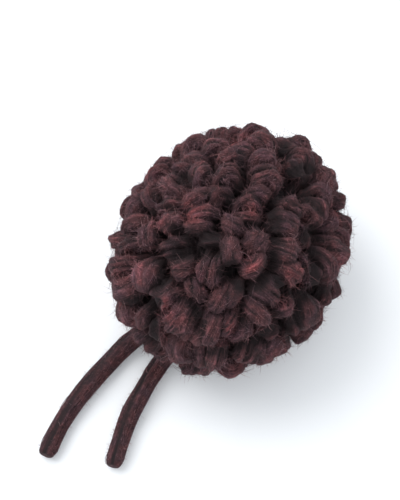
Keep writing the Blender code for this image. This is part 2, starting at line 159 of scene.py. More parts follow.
# The side away from that view has the same fans, spread evenly and turned and sized by chance.
HIDDEN_FANS = 60
HIDDEN_COUNTS = (2, 3, 1, 3, 2)
HIDDEN_FACING = -0.12
HIDDEN_WIDE = (4.8, 7.6)
HIDDEN_SPAN = (6.6, 9.4)
LOOP_LIFT = (-1.6, 1.2)
LOOP_VARIES = (0.92, 1.08)
CHANCE_SEED = 41
FILL_TRIES = 5000
FILL_SPANS = (7.8, 6.2)
MOST_LOOPS = 216

# How loops settle beside each other: rounds, how far apart two loops' middles still matter, and the
# shares of an overlap, of an overlap with the tie and of the way home that one round moves them.
SETTLING_ROUNDS = 160
SETTLING_NEAR = 26.0
SETTLING_PUSH = 0.3
SETTLING_ASIDE = 0.2
SETTLING_HOLD = 0.04

# The tie's ends: points of each route in mm. They lie on the surface once they reach it.
TAIL_WIDE = 7.0
TAIL_LIES = 3.6
TAIL_CLEAR = 0.8
CURVE_STEPS = 24

# The tie passes between the loops: how often its route is looked at, and how far out it still counts.
SHADOW_STEP = 2.0
SHADOW_REACH = 1.12

TAIL_LEFT_ROUTE = (
    (-16.5, -29.5, 17.2),
    (-21.6, -35.6, 8.4),
    (-26.4, -43.4, TAIL_LIES),
    (-29.6, -56.0, TAIL_LIES),
    (-32.6, -70.0, TAIL_LIES),
    (-34.0, -84.0, TAIL_LIES),
    (-33.2, -101.0, TAIL_LIES),
)
TAIL_RIGHT_ROUTE = (
    (-5.0, -33.5, 15.5),
    (-8.4, -40.0, 7.8),
    (-10.3, -48.0, TAIL_LIES),
    (-10.8, -60.0, TAIL_LIES),
    (-10.2, -74.0, TAIL_LIES),
    (-6.6, -93.0, TAIL_LIES),
)

# What brings the middle of the ball's box over the origin.
CENTRED = np.array((-0.239, -0.605, 0.0))

# Where the picture shows the ball: the pixel that its middle falls on, and the size of a pixel there.
AIM_PIXEL = (231.3, 249.4)
MM_PER_PIXEL = 0.4065

# Dark valleys between the bunches of loops, read in picture pixels: a line from one point to the
# other, how wide the valley is to each side and how deep it is, in mm.
VALLEY_COLUMNS = ("x", "y", "to_x", "to_y", "half", "deep")
VALLEYS = (
    (288, 143, 283, 156, 2.4, 6.0),
    (294, 169, 313, 165, 2.6, 7.0),
    (306, 172, 306, 186, 1.8, 4.0),
    (241, 155, 244, 180, 1.5, 3.5),
    (244, 180, 228, 203, 1.6, 4.0),
    (290, 188, 270, 205, 1.6, 4.5),
    (270, 205, 275, 219, 2.2, 6.0),
    (275, 219, 275, 240, 2.2, 6.0),
    (246, 223, 266, 228, 1.8, 4.0),
    (285, 208, 300, 200, 1.4, 3.0),
    (306, 193, 320, 211, 1.5, 3.5),
    (311, 230, 304, 238, 2.2, 5.0),
    (180, 179, 188, 177, 2.0, 5.0),
    (155, 193, 165, 204, 1.5, 3.5),
    (165, 204, 176, 212, 1.5, 3.5),
    (147, 210, 156, 212, 1.4, 3.0),
    (208, 171, 215, 173, 1.4, 3.5),
    (175, 228, 192, 238, 2.2, 5.0),
    (192, 238, 214, 236, 2.4, 6.0),
    (214, 236, 217, 224, 1.6, 4.0),
    (157, 234, 178, 244, 1.4, 3.5),
    (178, 252, 214, 249, 3.0, 7.0),
    (124, 238, 135, 237, 1.3, 3.0),
    (163, 262, 167, 277, 2.4, 6.0),
    (167, 277, 157, 287, 2.2, 5.0),
    (130, 300, 147, 299, 2.0, 5.0),
    (147, 299, 158, 300, 2.0, 5.0),
    (154, 305, 155, 333, 1.8, 5.0),
    (155, 333, 158, 348, 1.8, 4.5),
    (192, 300, 198, 311, 1.8, 4.5),
    (198, 311, 200, 321, 1.8, 4.5),
    (180, 296, 190, 300, 1.4, 3.0),
    (209, 348, 230, 349, 1.7, 4.5),
    (223, 270, 232, 266, 2.6, 7.0),
    (232, 276, 240, 285, 2.0, 5.0),
    (240, 285, 258, 284, 2.4, 6.5),
    (258, 284, 268, 270, 2.4, 6.5),
    (268, 270, 273, 253, 2.2, 6.0),
    (275, 277, 285, 291, 2.0, 5.0),
    (285, 291, 300, 294, 2.0, 5.0),
    (300, 294, 318, 292, 2.4, 6.0),
    (318, 292, 336, 290, 2.0, 5.0),
    (313, 252, 316, 287, 2.4, 6.0),
    (300, 294, 297, 318, 2.0, 5.5),
    (297, 318, 280, 322, 2.0, 5.5),
    (280, 322, 267, 330, 1.8, 5.0),
    (267, 330, 255, 337, 1.8, 5.0),
    (255, 337, 231, 346, 1.8, 4.5),
    (288, 326, 290, 342, 1.6, 4.0),
    (241, 302, 241, 323, 1.5, 3.5),
    (266, 303, 279, 317, 1.3, 3.0),
    (252, 340, 259, 355, 1.5, 3.5),
)

# How far a valley draws the strands beside it off its line, from how near, and the share of its depth by
# which they sink. Both begin SUNK_FROM of the way out from the ball's middle and are full SUNK_FADE
# further. A sink of VALLEY_FULL mm is painted in full shade.
VALLEY_PUSH = 0.8
VALLEY_SOFT = 0.8
SUNK_SHARE = 0.62
SUNK_FROM = 0.5
SUNK_FADE = 0.3
VALLEY_FULL = 4.6

# What was read in the picture fades out over the part of the ball that turns away from the view.
FACING_FADE = 3.0

# How far below the ball's surface the shade between the loops begins, and over how many mm it is full.
# MEAN_HALF turns a depth as a share of the ball into mm.
SHADE_FROM = 1.4
SHADE_DEEP = 14.5
MEAN_HALF = 45.0

# Bunches that are lit redder than the rest, read in picture pixels, each with its radius in mm.
RED_COLUMNS = ("x", "y", "half", "strong")
REDDER = (
    (193, 213, 4.5, 0.8),
    (242, 130, 4.5, 0.7),
    (232, 140, 4.0, 0.5),
    (300, 128, 5.0, 0.4),
    (335, 212, 4.0, 0.5),
    (340, 262, 3.5, 0.5),
    (150, 174, 5.0, 0.4),
    (161, 222, 3.5, 0.5),
    (143, 272, 5.0, 0.5),
    (205, 280, 5.0, 0.5),
    (168, 302, 3.5, 0.5),
    (174, 315, 3.5, 0.4),
    (249, 265, 4.5, 0.6),
    (293, 272, 4.5, 0.5),
    (255, 205, 4.0, 0.4),
    (247, 214, 4.0, 0.4),
    (282, 300, 4.0, 0.4),
    (228, 325, 4.5, 0.5),
    (240, 368, 5.0, 0.4),
    (270, 350, 4.5, 0.3),
)

# The roving as it is seen: a soft strand, fuller than its solid. Across the loop it is YARN_FULLER times
# the solid's half width, and outwards YARN_DEEP mm and a share of the loop's width. TAPER below 1 keeps
# it fuller towards the roots, which lie LEG_DEEP of the way in.
YARN_FULLER = 1.50
YARN_VARIES = (0.92, 1.06)
YARN_DEEP = 2.5
YARN_DEEP_SHARE = 0.22
YARN_SIDES = 32
YARN_MAP_RADIUS = 3.5
LEG_DEEP = 0.36
LEG_RINGS = 4
CROWN_RINGS = 15
TAPER = 0.8

# How much a loop's span varies, and how far in mm it leans to a side, slips along and sways.
SPAN_VARIES = (0.92, 1.1)
FLOP = 2.2
SLIP_SHARE = 0.7
SWAY = 0.8

# Its plies and the fine creases on them, as shares of the strand's radius, and the shade in them. TURNS
# is the most turns of the plies along a strand. What changes slowly along it has SLOW_KNOTS knots.
PLIES = (4, 5, 6, 7)
PLY_DEEP = (0.15, 0.30)
PLY_VARIES = 0.7
PLY_DARK_AT = 0.16
PLY_SHADE = 0.75
FINE_CREASES = 13
FINE_DEEP = 0.05
FINE_SHADE = 0.15
TURNS = 0.55
DRIFT = 0.35
SWELL = 0.13
SLOW_KNOTS = 6

# Lumps of wool: the shortest and longest wave and the height of each size in mm. High places are lit.
LUMP_WAVES = 14
LUMPS = ((5.5, 10.0, 0.34), (2.6, 4.6, 0.15))
LUMP_LIGHT = 0.22

# The painted contact shade where a strand meets another loop's. The other strand counts MEET_ALONG
# mm to each side of a point of its line. The shade begins MEET_FROM radii from that line and is full
# MEET_FADE nearer it.
MEET_ALONG = 3.0
MEET_REACH = 9.0
MEET_FROM = 1.34
MEET_FADE = 0.42
MEET_DARK = 0.85

# Nothing comes nearer to the floor than this.
FLOOR_LEAST = 0.15

# Loose fibres: some lie along the strands, short ones stand off them, and long ones cross from loop
# to loop. Thickness is each fibre's radius, and _ALONG the part of a strand's length where they start.
LAID_FIBRES = 22
LAID_THICK = 0.12
LAID_KNOTS = 5
LAID_ALONG = (0.14, 0.86)
LAID_STAND = 0.22
FUZZ_FIBRES = 66
FUZZ_THICK = 0.06
FUZZ_LONG = (2.2, 8.0)
FUZZ_ALONG = (0.2, 0.8)
FUZZ_ROOT = 0.3
DOWN_FIBRES = 305
DOWN_THICK = 0.085
DOWN_LONG = (1.2, 3.4)
CROSSING_FIBRES = 2600
CROSSING_THICK = 0.055
CROSSING_KNOTS = 5
CROSSING_LONG = (6.0, 16.0)
HAIR_SIDES = 3
HAIR_ANGLES = np.array((0.0, 2.0944, 4.1888))
HAIR_GUIDE = (0.31, 0.53, 0.79)

# The tie's ends as they are seen: their radius, its two last steps where they are cut, the crease along
# them, and their fibres.
TAIL_SIDES = 28
TAIL_SEEN = 3.4
TAIL_RING_STEP = 1.6
TAIL_CUT = (0.93, 0.72)
TAIL_PLIES = 0.5
TAIL_FLAT = (0.94, 1.06)
CLEFT_HALF = 0.30
CLEFT_DEEP = 0.16
TAIL_FIBRES = 420
TAIL_FUZZ = 900
TAIL_FUZZ_LONG = (0.8, 4.2)
CORD_STEP = 3.2

# Each strand and each hair has its own cell in the map for baking, with a margin round it. The map that
# the roving's streaks are read from is in mm, and each strand reads its own place in MAP_SPREAD.
CELL_MARGIN = 0.04
CELL_INNER = 0.92
SPIKE_MARGIN = 0.1
SPIKE_INNER = 0.8
MAP_SPREAD = 400.0

# The faces of one spike, by the points of its rings and its tip.
BENT_SPIKE = (
    (2, 1, 0), (0, 1, 4), (0, 4, 3), (1, 2, 5), (1, 5, 4), (2, 0, 3), (2, 3, 5),
    (3, 4, 6), (4, 5, 6), (5, 3, 6),
)
STRAIGHT_SPIKE = ((2, 1, 0), (0, 1, 3), (1, 2, 3), (2, 0, 3))

# The roving's colours: what the bunches lit redder, the cooler and the warmer patches are multiplied with,
# the painted shade that valleys, creases, contacts and depth turn to and at most how far, and the ramp of
# each kind of fibre, from dark to light.
RED_LIGHT = (2.1, 1.25, 1.2)
COOL_SHADE = (0.84, 0.92, 1.02)
WARM_SHADE = (1.22, 1.02, 0.98)
COOL_BELOW = 0.52
WARM_ABOVE = 0.50
HUE_CONTRAST = 6.0
VALLEY_DARK = (0.0120, 0.0088, 0.0096)
MOST_DARK = 0.92
SHEEN_TINT = (0.80, 0.45, 0.47)
BUMP_HIGH = 0.0014
YARN_RAMP = (
    (0.39, (0.016, 0.0070, 0.0078)),
    (0.46, (0.043, 0.0178, 0.0200)),
    (0.53, (0.077, 0.0314, 0.0352)),
    (0.61, (0.192, 0.0800, 0.0885)),
)
# The loose fibres', the down's and the fuzz's ramps are ever lighter copies of the roving: painted light.
HAIR_RAMP = (
    (0.39, (0.045, 0.0210, 0.0235)),
    (0.50, (0.094, 0.0435, 0.0480)),
    (0.60, (0.205, 0.1000, 0.1070)),
)
DOWN_RAMP = (
    (0.39, (0.075, 0.0340, 0.0380)),
    (0.50, (0.175, 0.0820, 0.0890)),
    (0.60, (0.340, 0.1800, 0.1880)),
)
FUZZ_RAMP = (
    (0.39, (0.120, 0.0530, 0.0590)),
    (0.50, (0.270, 0.1380, 0.1470)),
    (0.60, (0.480, 0.2900, 0.3000)),
)
# DEEP_RAMP: the roots' roving darkened to near black, painted shade deep inside the ball.
DEEP_RAMP = (
    (0.35, (0.008, 0.004, 0.005)),
    (0.65, (0.020, 0.010, 0.012)),
)

# The stage, in metres: the floor, the sky's light, one large soft light and the camera. KEY_AWAY is to
# the left, ahead and up in the view.
FLOOR_HALF = 4.0
FLOOR_COLOUR = (0.82, 0.83, 0.84)
# The floor's faint glow is no lamp: painted light that lifts the ball's shadow on the floor.
FLOOR_GLOW = (0.93, 0.96, 1.0)
FLOOR_GLOW_STRENGTH = 0.13
WORLD_COLOUR = (0.93, 0.965, 1.0)
WORLD_STRENGTH = 1.08
KEY_AWAY = (0.55, 0.32, 0.85)
KEY_AIM = (0.0, 0.0, 0.04)
KEY_SIZE = 1.0
KEY_WATTS = 7.0
CAMERA_AWAY = 0.80
SENSOR = 36.0
PICTURE_WIDE = 400
PICTURE_HIGH = 500


def seen_axes():
    """Across, up and towards the eye, in the view that FANS is read in."""
    azimuth = math.radians(SEEN_AZIMUTH)
    tip = math.radians(SEEN_ELEVATION)
    across = np.array((math.cos(azimuth), math.sin(azimuth), 0.0))
    up = np.array((-math.sin(azimuth) * math.sin(tip), math.cos(azimuth) * math.sin(tip), math.cos(tip)))
    return across, up, np.cross(across, up)


def reach(points):
    """How far out points measured from the ball's middle are: 1 on the ball's surface."""
    return np.linalg.norm(points / HALVES, axis=-1)


def surface_normal(point):
    normal = point / HALVES**2
    return normal / np.linalg.norm(normal)


def along_surface(direction, point):
    """The direction laid into the ball's surface at a point."""
    normal = surface_normal(point)
    flat = direction - normal * direction.dot(normal)
    return flat / np.linalg.norm(flat)


def seen_point(right, up):
    """The near point of the ball at this place in the view, or its rim's nearest point."""
    across_axis, up_axis, eye = seen_axes()
    bend = eye / HALVES**2
    for _ in range(RIM_STEPS):
        flat = across_axis * right + up_axis * up
        inside = bend.dot(flat) ** 2 - bend.dot(eye) * ((flat / HALVES).dot(flat / HALVES) - 1.0)
        if inside > 0.0:
            return flat + eye * (math.sqrt(inside) - bend.dot(flat)) / bend.dot(eye)
        right *= RIM_STEP
        up *= RIM_STEP
    return flat / reach(flat)


def fan(point, along, count, wide, span, lift):
    """The loops of one fan: each has its two legs on the ball's surface, span, width and lift."""
    sideways = np.cross(surface_normal(point), along)
    loops = []
    for place in range(count):
        middle = point + sideways * (wide + LOOP_GAP) * (place - (count - 1) / 2)
        middle = middle / reach(middle)
        way = along_surface(along, middle)
        loops.append((middle - way * span / 2, middle + way * span / 2, span, wide, lift))
    return loops


def seen_loops():
    across_axis, up_axis, _ = seen_axes()
    loops = []
    for row in FANS:
        named = dict(zip(FAN_COLUMNS, row))
        point = seen_point(named["across"], named["up"])
        turn = math.radians(named["turn"])
        along = along_surface(across_axis * math.cos(turn) + up_axis * math.sin(turn), point)
        loops += fan(point, along, named["count"], named["wide"], named["span"], named["lift"])
    return loops


def chance_way(chance, point):
    """Any direction in the ball's surface at a point."""
    return along_surface(chance.standard_normal(3), point)


def hidden_loops(chance):
    eye = seen_axes()[2]
    golden = math.pi * (3.0 - math.sqrt(5.0))
    loops = []
    for place in range(HIDDEN_FANS * 2):
        height = 1.0 - (2 * place + 1) / (HIDDEN_FANS * 2)
        ring = math.sqrt(1.0 - height * height)
        way = np.array((ring * math.cos(golden * place), ring * math.sin(golden * place), height))
        point = way * HALVES
        if surface_normal(point).dot(eye) > HIDDEN_FACING:
            continue
        count = HIDDEN_COUNTS[place % len(HIDDEN_COUNTS)]
        span = chance.uniform(*HIDDEN_SPAN)
        wide = chance.uniform(*HIDDEN_WIDE)
        loops += fan(point, chance_way(chance, point), count, wide, span, 0.0)
    return loops


def with_eaves(starts, ends):
    """The legs' places moved out to where the corners of the loops' ends need room."""
    ways = ends - starts
    eaves = ways / np.linalg.norm(ways, axis=-1, keepdims=True) * LOOP_EAVE
    return starts - eaves, ends + eaves


def nearest_shares(start_a, end_a, start_b, end_b):
    """For pairs of straight lines, the share of the way along each at which the two come nearest."""
    way_a = end_a - start_a
    way_b = end_b - start_b
    between = start_a - start_b
    long_a = (way_a * way_a).sum(-1)
    long_b = (way_b * way_b).sum(-1)
    both = (way_a * way_b).sum(-1)
    on_a = (way_a * between).sum(-1)
    on_b = (way_b * between).sum(-1)
    spread = np.maximum(long_a * long_b - both * both, 1e-9)
    share_a = np.clip((both * on_b - on_a * long_b) / spread, 0.0, 1.0)
    share_b = np.clip((both * share_a + on_b) / long_b, 0.0, 1.0)
    share_a = np.clip((both * share_b - on_a) / long_a, 0.0, 1.0)
    return share_a, share_b


def tail_shadow():
    """Where the tie's ends pass between the loops: points on the ball's surface and their half widths."""
    points = []
    halves = []
    for route in (TAIL_LEFT_ROUTE, TAIL_RIGHT_ROUTE):
        line = tail_points(route, SHADOW_STEP) - MIDDLE
        for point, out in zip(line, reach(line)):
            if out < SHADOW_REACH:
                points.append(point / out)
                halves.append((TAIL_WIDE / 2 + TAIL_CLEAR) / out)
    return np.array(points), np.array(halves)


def settle(starts, ends, spans, wides, shadow, shadow_halves):
    """Pushes loops apart on the ball's surface until each has its own width, and off the tie's ends."""
    first, second = np.triu_indices(len(starts), 1)
    home_starts = starts.copy()
    home_ends = ends.copy()
    for turn in range(SETTLING_ROUNDS):
        middles = (starts + ends) / 2
        near = np.linalg.norm(middles[first] - middles[second], axis=1) < SETTLING_NEAR
        one = first[near]
        other = second[near]
        wide_starts, wide_ends = with_eaves(starts, ends)
        share_one, share_other = nearest_shares(
            wide_starts[one], wide_ends[one], wide_starts[other], wide_ends[other]
        )
        from_one = wide_starts[one] + (wide_ends[one] - wide_starts[one]) * share_one[:, None]
        from_other = wide_starts[other] + (wide_ends[other] - wide_starts[other]) * share_other[:, None]
        apart = from_other - from_one
        distance = np.maximum(np.linalg.norm(apart, axis=1), 1e-6)
        lack = np.maximum((wides[one] + wides[other]) / 2 + LOOP_GAP - distance, 0.0)
        push = apart / distance[:, None] * (lack * SETTLING_PUSH)[:, None]
        move_starts = np.zeros_like(starts)
        move_ends = np.zeros_like(ends)
        np.add.at(move_starts, one, -push * (1 - share_one)[:, None])
        np.add.at(move_ends, one, -push * share_one[:, None])
        np.add.at(move_starts, other, push * (1 - share_other)[:, None])
        np.add.at(move_ends, other, push * share_other[:, None])
        for moves, legs in ((move_starts, starts), (move_ends, ends)):
            off = legs[:, None, :] - shadow[None, :, :]
            away = np.maximum(np.linalg.norm(off, axis=2), 1e-6)
            short = np.maximum(wides[:, None] / 2 + shadow_halves[None, :] - away, 0.0)
            moves += (off / away[:, :, None] * (short * SETTLING_ASIDE)[:, :, None]).sum(axis=1)
        hold = SETTLING_HOLD * (1.0 - turn / SETTLING_ROUNDS)
        starts = starts + move_starts + (home_starts - starts) * hold
        ends = ends + move_ends + (home_ends - ends) * hold
        middles = (starts + ends) / 2
        middles = middles / reach(middles)[:, None]
        ways = ends - starts
        ways = ways / np.linalg.norm(ways, axis=1)[:, None] * spans[:, None] / 2
        starts = middles - ways
        ends = middles + ways
        starts = starts / reach(starts)[:, None]
        ends = ends / reach(ends)[:, None]
    return starts, ends


def free_width(start, end, starts, ends, wides, shadow, shadow_halves):
    """How wide a loop between these two legs can be, beside the loops and the tie's ends."""
    start, end = with_eaves(start, end)
    starts, ends = with_eaves(starts, ends)
    count = len(starts)
    own_start = np.broadcast_to(start, (count, 3))
    own_end = np.broadcast_to(end, (count, 3))
    share_own, share_other = nearest_shares(own_start, own_end, starts, ends)
    own = own_start + (own_end - own_start) * share_own[:, None]
    other = starts + (ends - starts) * share_other[:, None]
    room = (np.linalg.norm(own - other, axis=1) - LOOP_GAP) * 2 - wides
    share = np.clip((shadow - start) @ (end - start) / (end - start).dot(end - start), 0.0, 1.0)
    nearest = start + (end - start) * share[:, None]
    clear = (np.linalg.norm(shadow - nearest, axis=1) - shadow_halves) * 2
    return min(room.min(initial=3 * FILL_WIDE), clear.min())


def laid_loops():
    """Every loop of the ball: its legs on the surface, its width there and its lift."""
    chance = np.random.RandomState(CHANCE_SEED)
    loops = seen_loops() + hidden_loops(chance)
    starts, ends = (np.array([loop[leg] for loop in loops]) for leg in (0, 1))
    spans, wides, lifts = (np.array([loop[size] for loop in loops]) for size in (2, 3, 4))
    wides = wides * chance.uniform(*LOOP_VARIES, len(loops))
    lifts = lifts + chance.uniform(*LOOP_LIFT, len(loops))
    shadow, shadow_halves = tail_shadow()
    starts, ends = settle(starts, ends, spans, wides, shadow, shadow_halves)
    kept = []
    for place in range(len(loops)):
        have = np.array(kept, int)
        room = free_width(
            starts[place], ends[place], starts[have], ends[have], wides[have], shadow, shadow_halves
        )
        if room > wides[place] * LEAST_SHARE:
            wides[place] = min(wides[place], room)
            kept.append(place)
    laid = [(starts[place], ends[place], wides[place], lifts[place]) for place in kept]
    eye = seen_axes()[2]
    for span in FILL_SPANS:
        for _ in range(FILL_TRIES):
            if len(laid) >= MOST_LOOPS:
                break
            way = chance.standard_normal(3)
            point = way * HALVES / np.linalg.norm(way)
            along = chance_way(chance, point) * span / 2
            lift = chance.uniform(*LOOP_LIFT)
            have_starts, have_ends = (np.array([loop[leg] for loop in laid]) for leg in (0, 1))
            have_wides = np.array([loop[2] for loop in laid])
            room = free_width(
                point - along, point + along, have_starts, have_ends, have_wides, shadow, shadow_halves
            )
            least = LEAST_SEEN_FILL if surface_normal(point).dot(eye) > 0.0 else LEAST_FILL
            if room > least:
                laid.append((point - along, point + along, min(room, FILL_WIDE), lift))
    return laid


def tail_points(route, step):
    """Points every step mm along a smooth curve through a route's own points."""
    ends = [route[0], *route, route[-1]]
    curve = []
    for place in range(len(route) - 1):
        before, here, there, after = (np.array(point) for point in ends[place : place + 4])
        for share in np.linspace(0.0, 1.0, CURVE_STEPS, endpoint=False):
            curve.append(
                0.5
                * (
                    2 * here
                    + (there - before) * share
                    + (2 * before - 5 * here + 4 * there - after) * share**2
                    + (3 * here - before - 3 * there + after) * share**3
                )
            )
    curve.append(np.array(route[-1]))
    curve = np.array(curve)
    gone = np.concatenate(([0.0], np.cumsum(np.linalg.norm(np.diff(curve, axis=0), axis=1))))
    stops = np.linspace(0.0, gone[-1], max(2, round(gone[-1] / step) + 1))
    points = np.stack([np.interp(stops, gone, curve[:, axis]) for axis in range(3)], axis=1)
    points[:, 2] = np.maximum(points[:, 2], TAIL_LIES)
    return points


def unit(vectors):
    return vectors / np.maximum(np.linalg.norm(vectors, axis=-1, keepdims=True), 1e-9)


def frames_along(lines, guide):
    """The way on and two directions across it at every point of every line, carried along without
    turning. lines is n x k x 3."""
    ways = unit(np.gradient(lines, axis=1))
    first = np.zeros_like(lines)
    carried = unit(guide - (guide * ways[:, 0]).sum(-1, keepdims=True) * ways[:, 0])
    for place in range(lines.shape[1]):
        way = ways[:, place]
        carried = unit(carried - (carried * way).sum(-1, keepdims=True) * way)
        first[:, place] = carried
    return ways, first, np.cross(ways, first)


def ringed(lines, first, second, across, outwards):
    """Ring points round lines, from their distance along each of the two cross directions."""
    return (
        lines[:, :, None, :]
        + first[:, :, None, :] * across[..., None]
        + second[:, :, None, :] * outwards[..., None]
    )


def made_piece(name, points, corners, starts, strand_map, bake_map, hollow, material):
    """One smooth object of points in mm. corners are its faces' corners in a row, and starts the places
    where each face begins. Both maps give a place for every corner. hollow is the painted shade of each
    point: 1 in a valley's full painted shade, 0 in the open, below 0 painted redder as if lit."""
    data = bpy.data.meshes.new(name)
    data.vertices.add(len(points))
    data.vertices.foreach_set("co", (points * MM).astype(np.float32).reshape(-1))
    data.loops.add(len(corners))
    data.loops.foreach_set("vertex_index", corners.astype(np.int32))
    data.polygons.add(len(starts))
    data.polygons.foreach_set("loop_start", starts.astype(np.int32))
    data.update(calc_edges=True)
    data.validate()
    data.polygons.foreach_set("use_smooth", np.ones(len(starts), bool))
    for layer, places in (("Strand", strand_map), ("OFBake", bake_map)):
        data.uv_layers.new(name=layer).data.foreach_set("uv", places.astype(np.float32).reshape(-1))
    kept = data.attributes.new("hollow", "FLOAT", "POINT")
    kept.data.foreach_set("value", hollow.astype(np.float32).reshape(-1))
    data.materials.append(material)
    made = bpy.data.objects.new(name, data)
    bpy.context.scene.collection.objects.link(made)
    return made


def at_corners(grid):
    """What a grid over tubes holds, n x k x (s + 1) x 2, at each corner of the tubes' faces."""
    sides = np.stack((grid[:, :-1, :-1], grid[:, :-1, 1:], grid[:, 1:, 1:], grid[:, 1:, :-1]), axis=3)
    ends = (grid[:, 0, :-1][:, ::-1].reshape(-1, 2), grid[:, -1, :-1].reshape(-1, 2))
    return np.concatenate((sides.reshape(-1, 2), *ends))


def tubes(name, rings, strand_map, hollow, material):
    """One mesh of closed tubes. rings is n x k x s x 3 in mm; strand_map gives each ring point's place
    around and along its strand, n x k x (s + 1) x 2, which the material reads its streaks from. hollow is
    how shaded each ring point is, n x k x s."""
    count, long, sides, _ = rings.shape
    base = np.arange(count)[:, None, None] * long * sides
    along = np.arange(long - 1)[None, :, None] * sides
    around = np.arange(sides)[None, None, :]
    after = (around + 1) % sides
    low = base + along
    high = low + sides
    quads = np.stack((low + around, low + after, high + after, high + around), axis=-1)
    ends = base[:, :, 0]
    end_first = ends + np.arange(sides)[::-1]
    end_last = ends + (long - 1) * sides + np.arange(sides)
    corners = np.concatenate((quads.reshape(-1), end_first.reshape(-1), end_last.reshape(-1)))
    quad_count = quads.size // 4
    starts = np.concatenate((np.arange(quad_count) * 4, quad_count * 4 + np.arange(2 * count) * sides))
    cells = math.ceil(math.sqrt(count))
    cell_x = (np.arange(count) % cells)[:, None, None]
    cell_y = (np.arange(count) // cells)[:, None, None]
    u = (cell_x + CELL_MARGIN + CELL_INNER * np.arange(sides + 1)[None, None, :] / sides) / cells
    v = (cell_y + CELL_MARGIN + CELL_INNER * np.arange(long)[None, :, None] / (long - 1)) / cells
    bake_map = at_corners(np.stack(np.broadcast_arrays(u, v), axis=-1))
    points = rings.reshape(-1, 3)
    return made_piece(name, points, corners, starts, at_corners(strand_map), bake_map, hollow, material)


def picture_place(x, y):
    """A picture pixel as mm across and up from the ball's middle."""
    return np.array(((x - AIM_PIXEL[0]) * MM_PER_PIXEL, (AIM_PIXEL[1] - y) * MM_PER_PIXEL))


def seen_places(points):
    """Points from the ball's middle as mm across and up in the view, and how far they face it."""
    across, up, eye = seen_axes()
    facing = np.clip(unit(points / HALVES**2) @ eye * FACING_FADE, 0.0, 1.0)
    return np.stack((points @ across, points @ up), axis=-1), facing


def valleys(points):
    """How the valleys reach points from the ball's middle: the sink, and the push aside, in mm."""
    across, up, _ = seen_axes()
    seen, facing = seen_places(points)
    sink = np.zeros(points.shape[:-1])
    push = np.zeros(points.shape)
    for row in VALLEYS:
        named = dict(zip(VALLEY_COLUMNS, row))
        start = picture_place(named["x"], named["y"])
        way = picture_place(named["to_x"], named["to_y"]) - start
        share = np.clip(((seen - start) @ way) / way.dot(way), 0.0, 1.0)
        off = seen - start - share[..., None] * way
        near = np.exp(-(((off**2).sum(-1)) / named["half"] ** 2)) * facing
        sink = np.maximum(sink, near * named["deep"])
        away = np.linalg.norm(off, axis=-1, keepdims=True)
        aside = off / (away + VALLEY_SOFT) * near[..., None] * VALLEY_PUSH
        push += aside[..., :1] * across + aside[..., 1:] * up
    return sink, push


def shading(points):
    """How shaded points from the ball's middle are, by depth, valleys and the redder bunches."""
    seen, facing = seen_places(points)
    depth = (1.0 - reach(points)) * MEAN_HALF
    sink, _ = valleys(points)
    red = np.zeros(points.shape[:-1])
    for row in REDDER:
        named = dict(zip(RED_COLUMNS, row))
        off = seen - picture_place(named["x"], named["y"])
        red += np.exp(-((off**2).sum(-1)) / named["half"] ** 2) * named["strong"] * facing
    dark = np.clip((depth - SHADE_FROM) / SHADE_DEEP, 0.0, 1.0) + np.clip(sink / VALLEY_FULL, 0.0, 1.0)
    dark = np.clip(dark, 0.0, 1.0)
    return dark - np.clip(red, 0.0, 1.0) * (1.0 - dark)


def loop_lines(loops, chance):
    """The middle line of every loop in mm, n x k x 3, how far out each point is, and the way sideways."""
    lines = []
    shares = []
    sides = []
    for start, end, wide, lift in loops:
        middle = (start + end) / 2
        far = np.linalg.norm(middle)
        out = middle / far
        along = (end - start) / np.linalg.norm(end - start)
        sideways = np.cross(out, along)
        span = np.linalg.norm(end - start)
        half = span / 2 * chance.uniform(*SPAN_VARIES)
        thick = YARN_DEEP + YARN_DEEP_SHARE * wide
        centre = -thick - half
        deep = -far * LEG_DEEP
        leg = np.linspace(deep, centre, LEG_RINGS, endpoint=False)
        bow = np.linspace(0.0, math.pi, CROWN_RINGS)
        side = half * np.ones(LEG_RINGS)
        across = np.concatenate((-side, -half * np.cos(bow), side))
        height = np.concatenate((leg, centre + half * np.sin(bow), leg[::-1]))
        risen = np.clip((height - deep) / (-thick - deep), 0.0, 1.0) ** 2
        aside = risen * chance.uniform(-FLOP, FLOP)
        slip = risen * chance.uniform(-FLOP, FLOP) * SLIP_SHARE
        sway = np.sin(np.linspace(0.0, 2 * math.pi, len(height)) + chance.uniform(0, 6.3))
        sway = sway * chance.uniform(0.0, SWAY)
        share = 1.0 + (height + lift) / far
        line = middle + along * (across + slip)[:, None] + sideways * (aside + sway * risen)[:, None]
        lines.append(line * share[:, None])
        shares.append(share)
        sides.append(sideways)
    return np.array(lines), np.array(shares), np.array(sides)


def smooth_noise(chance, count, length, knots, strength):
    """A slowly changing number along each of count lines."""
    values = chance.uniform(-1.0, 1.0, (count, knots))
    places = np.linspace(0.0, knots - 1.001, length)
    low = places.astype(int)
    share = places - low
    share = share * share * (3 - 2 * share)
    return (values[:, low] * (1 - share) + values[:, low + 1] * share) * strength


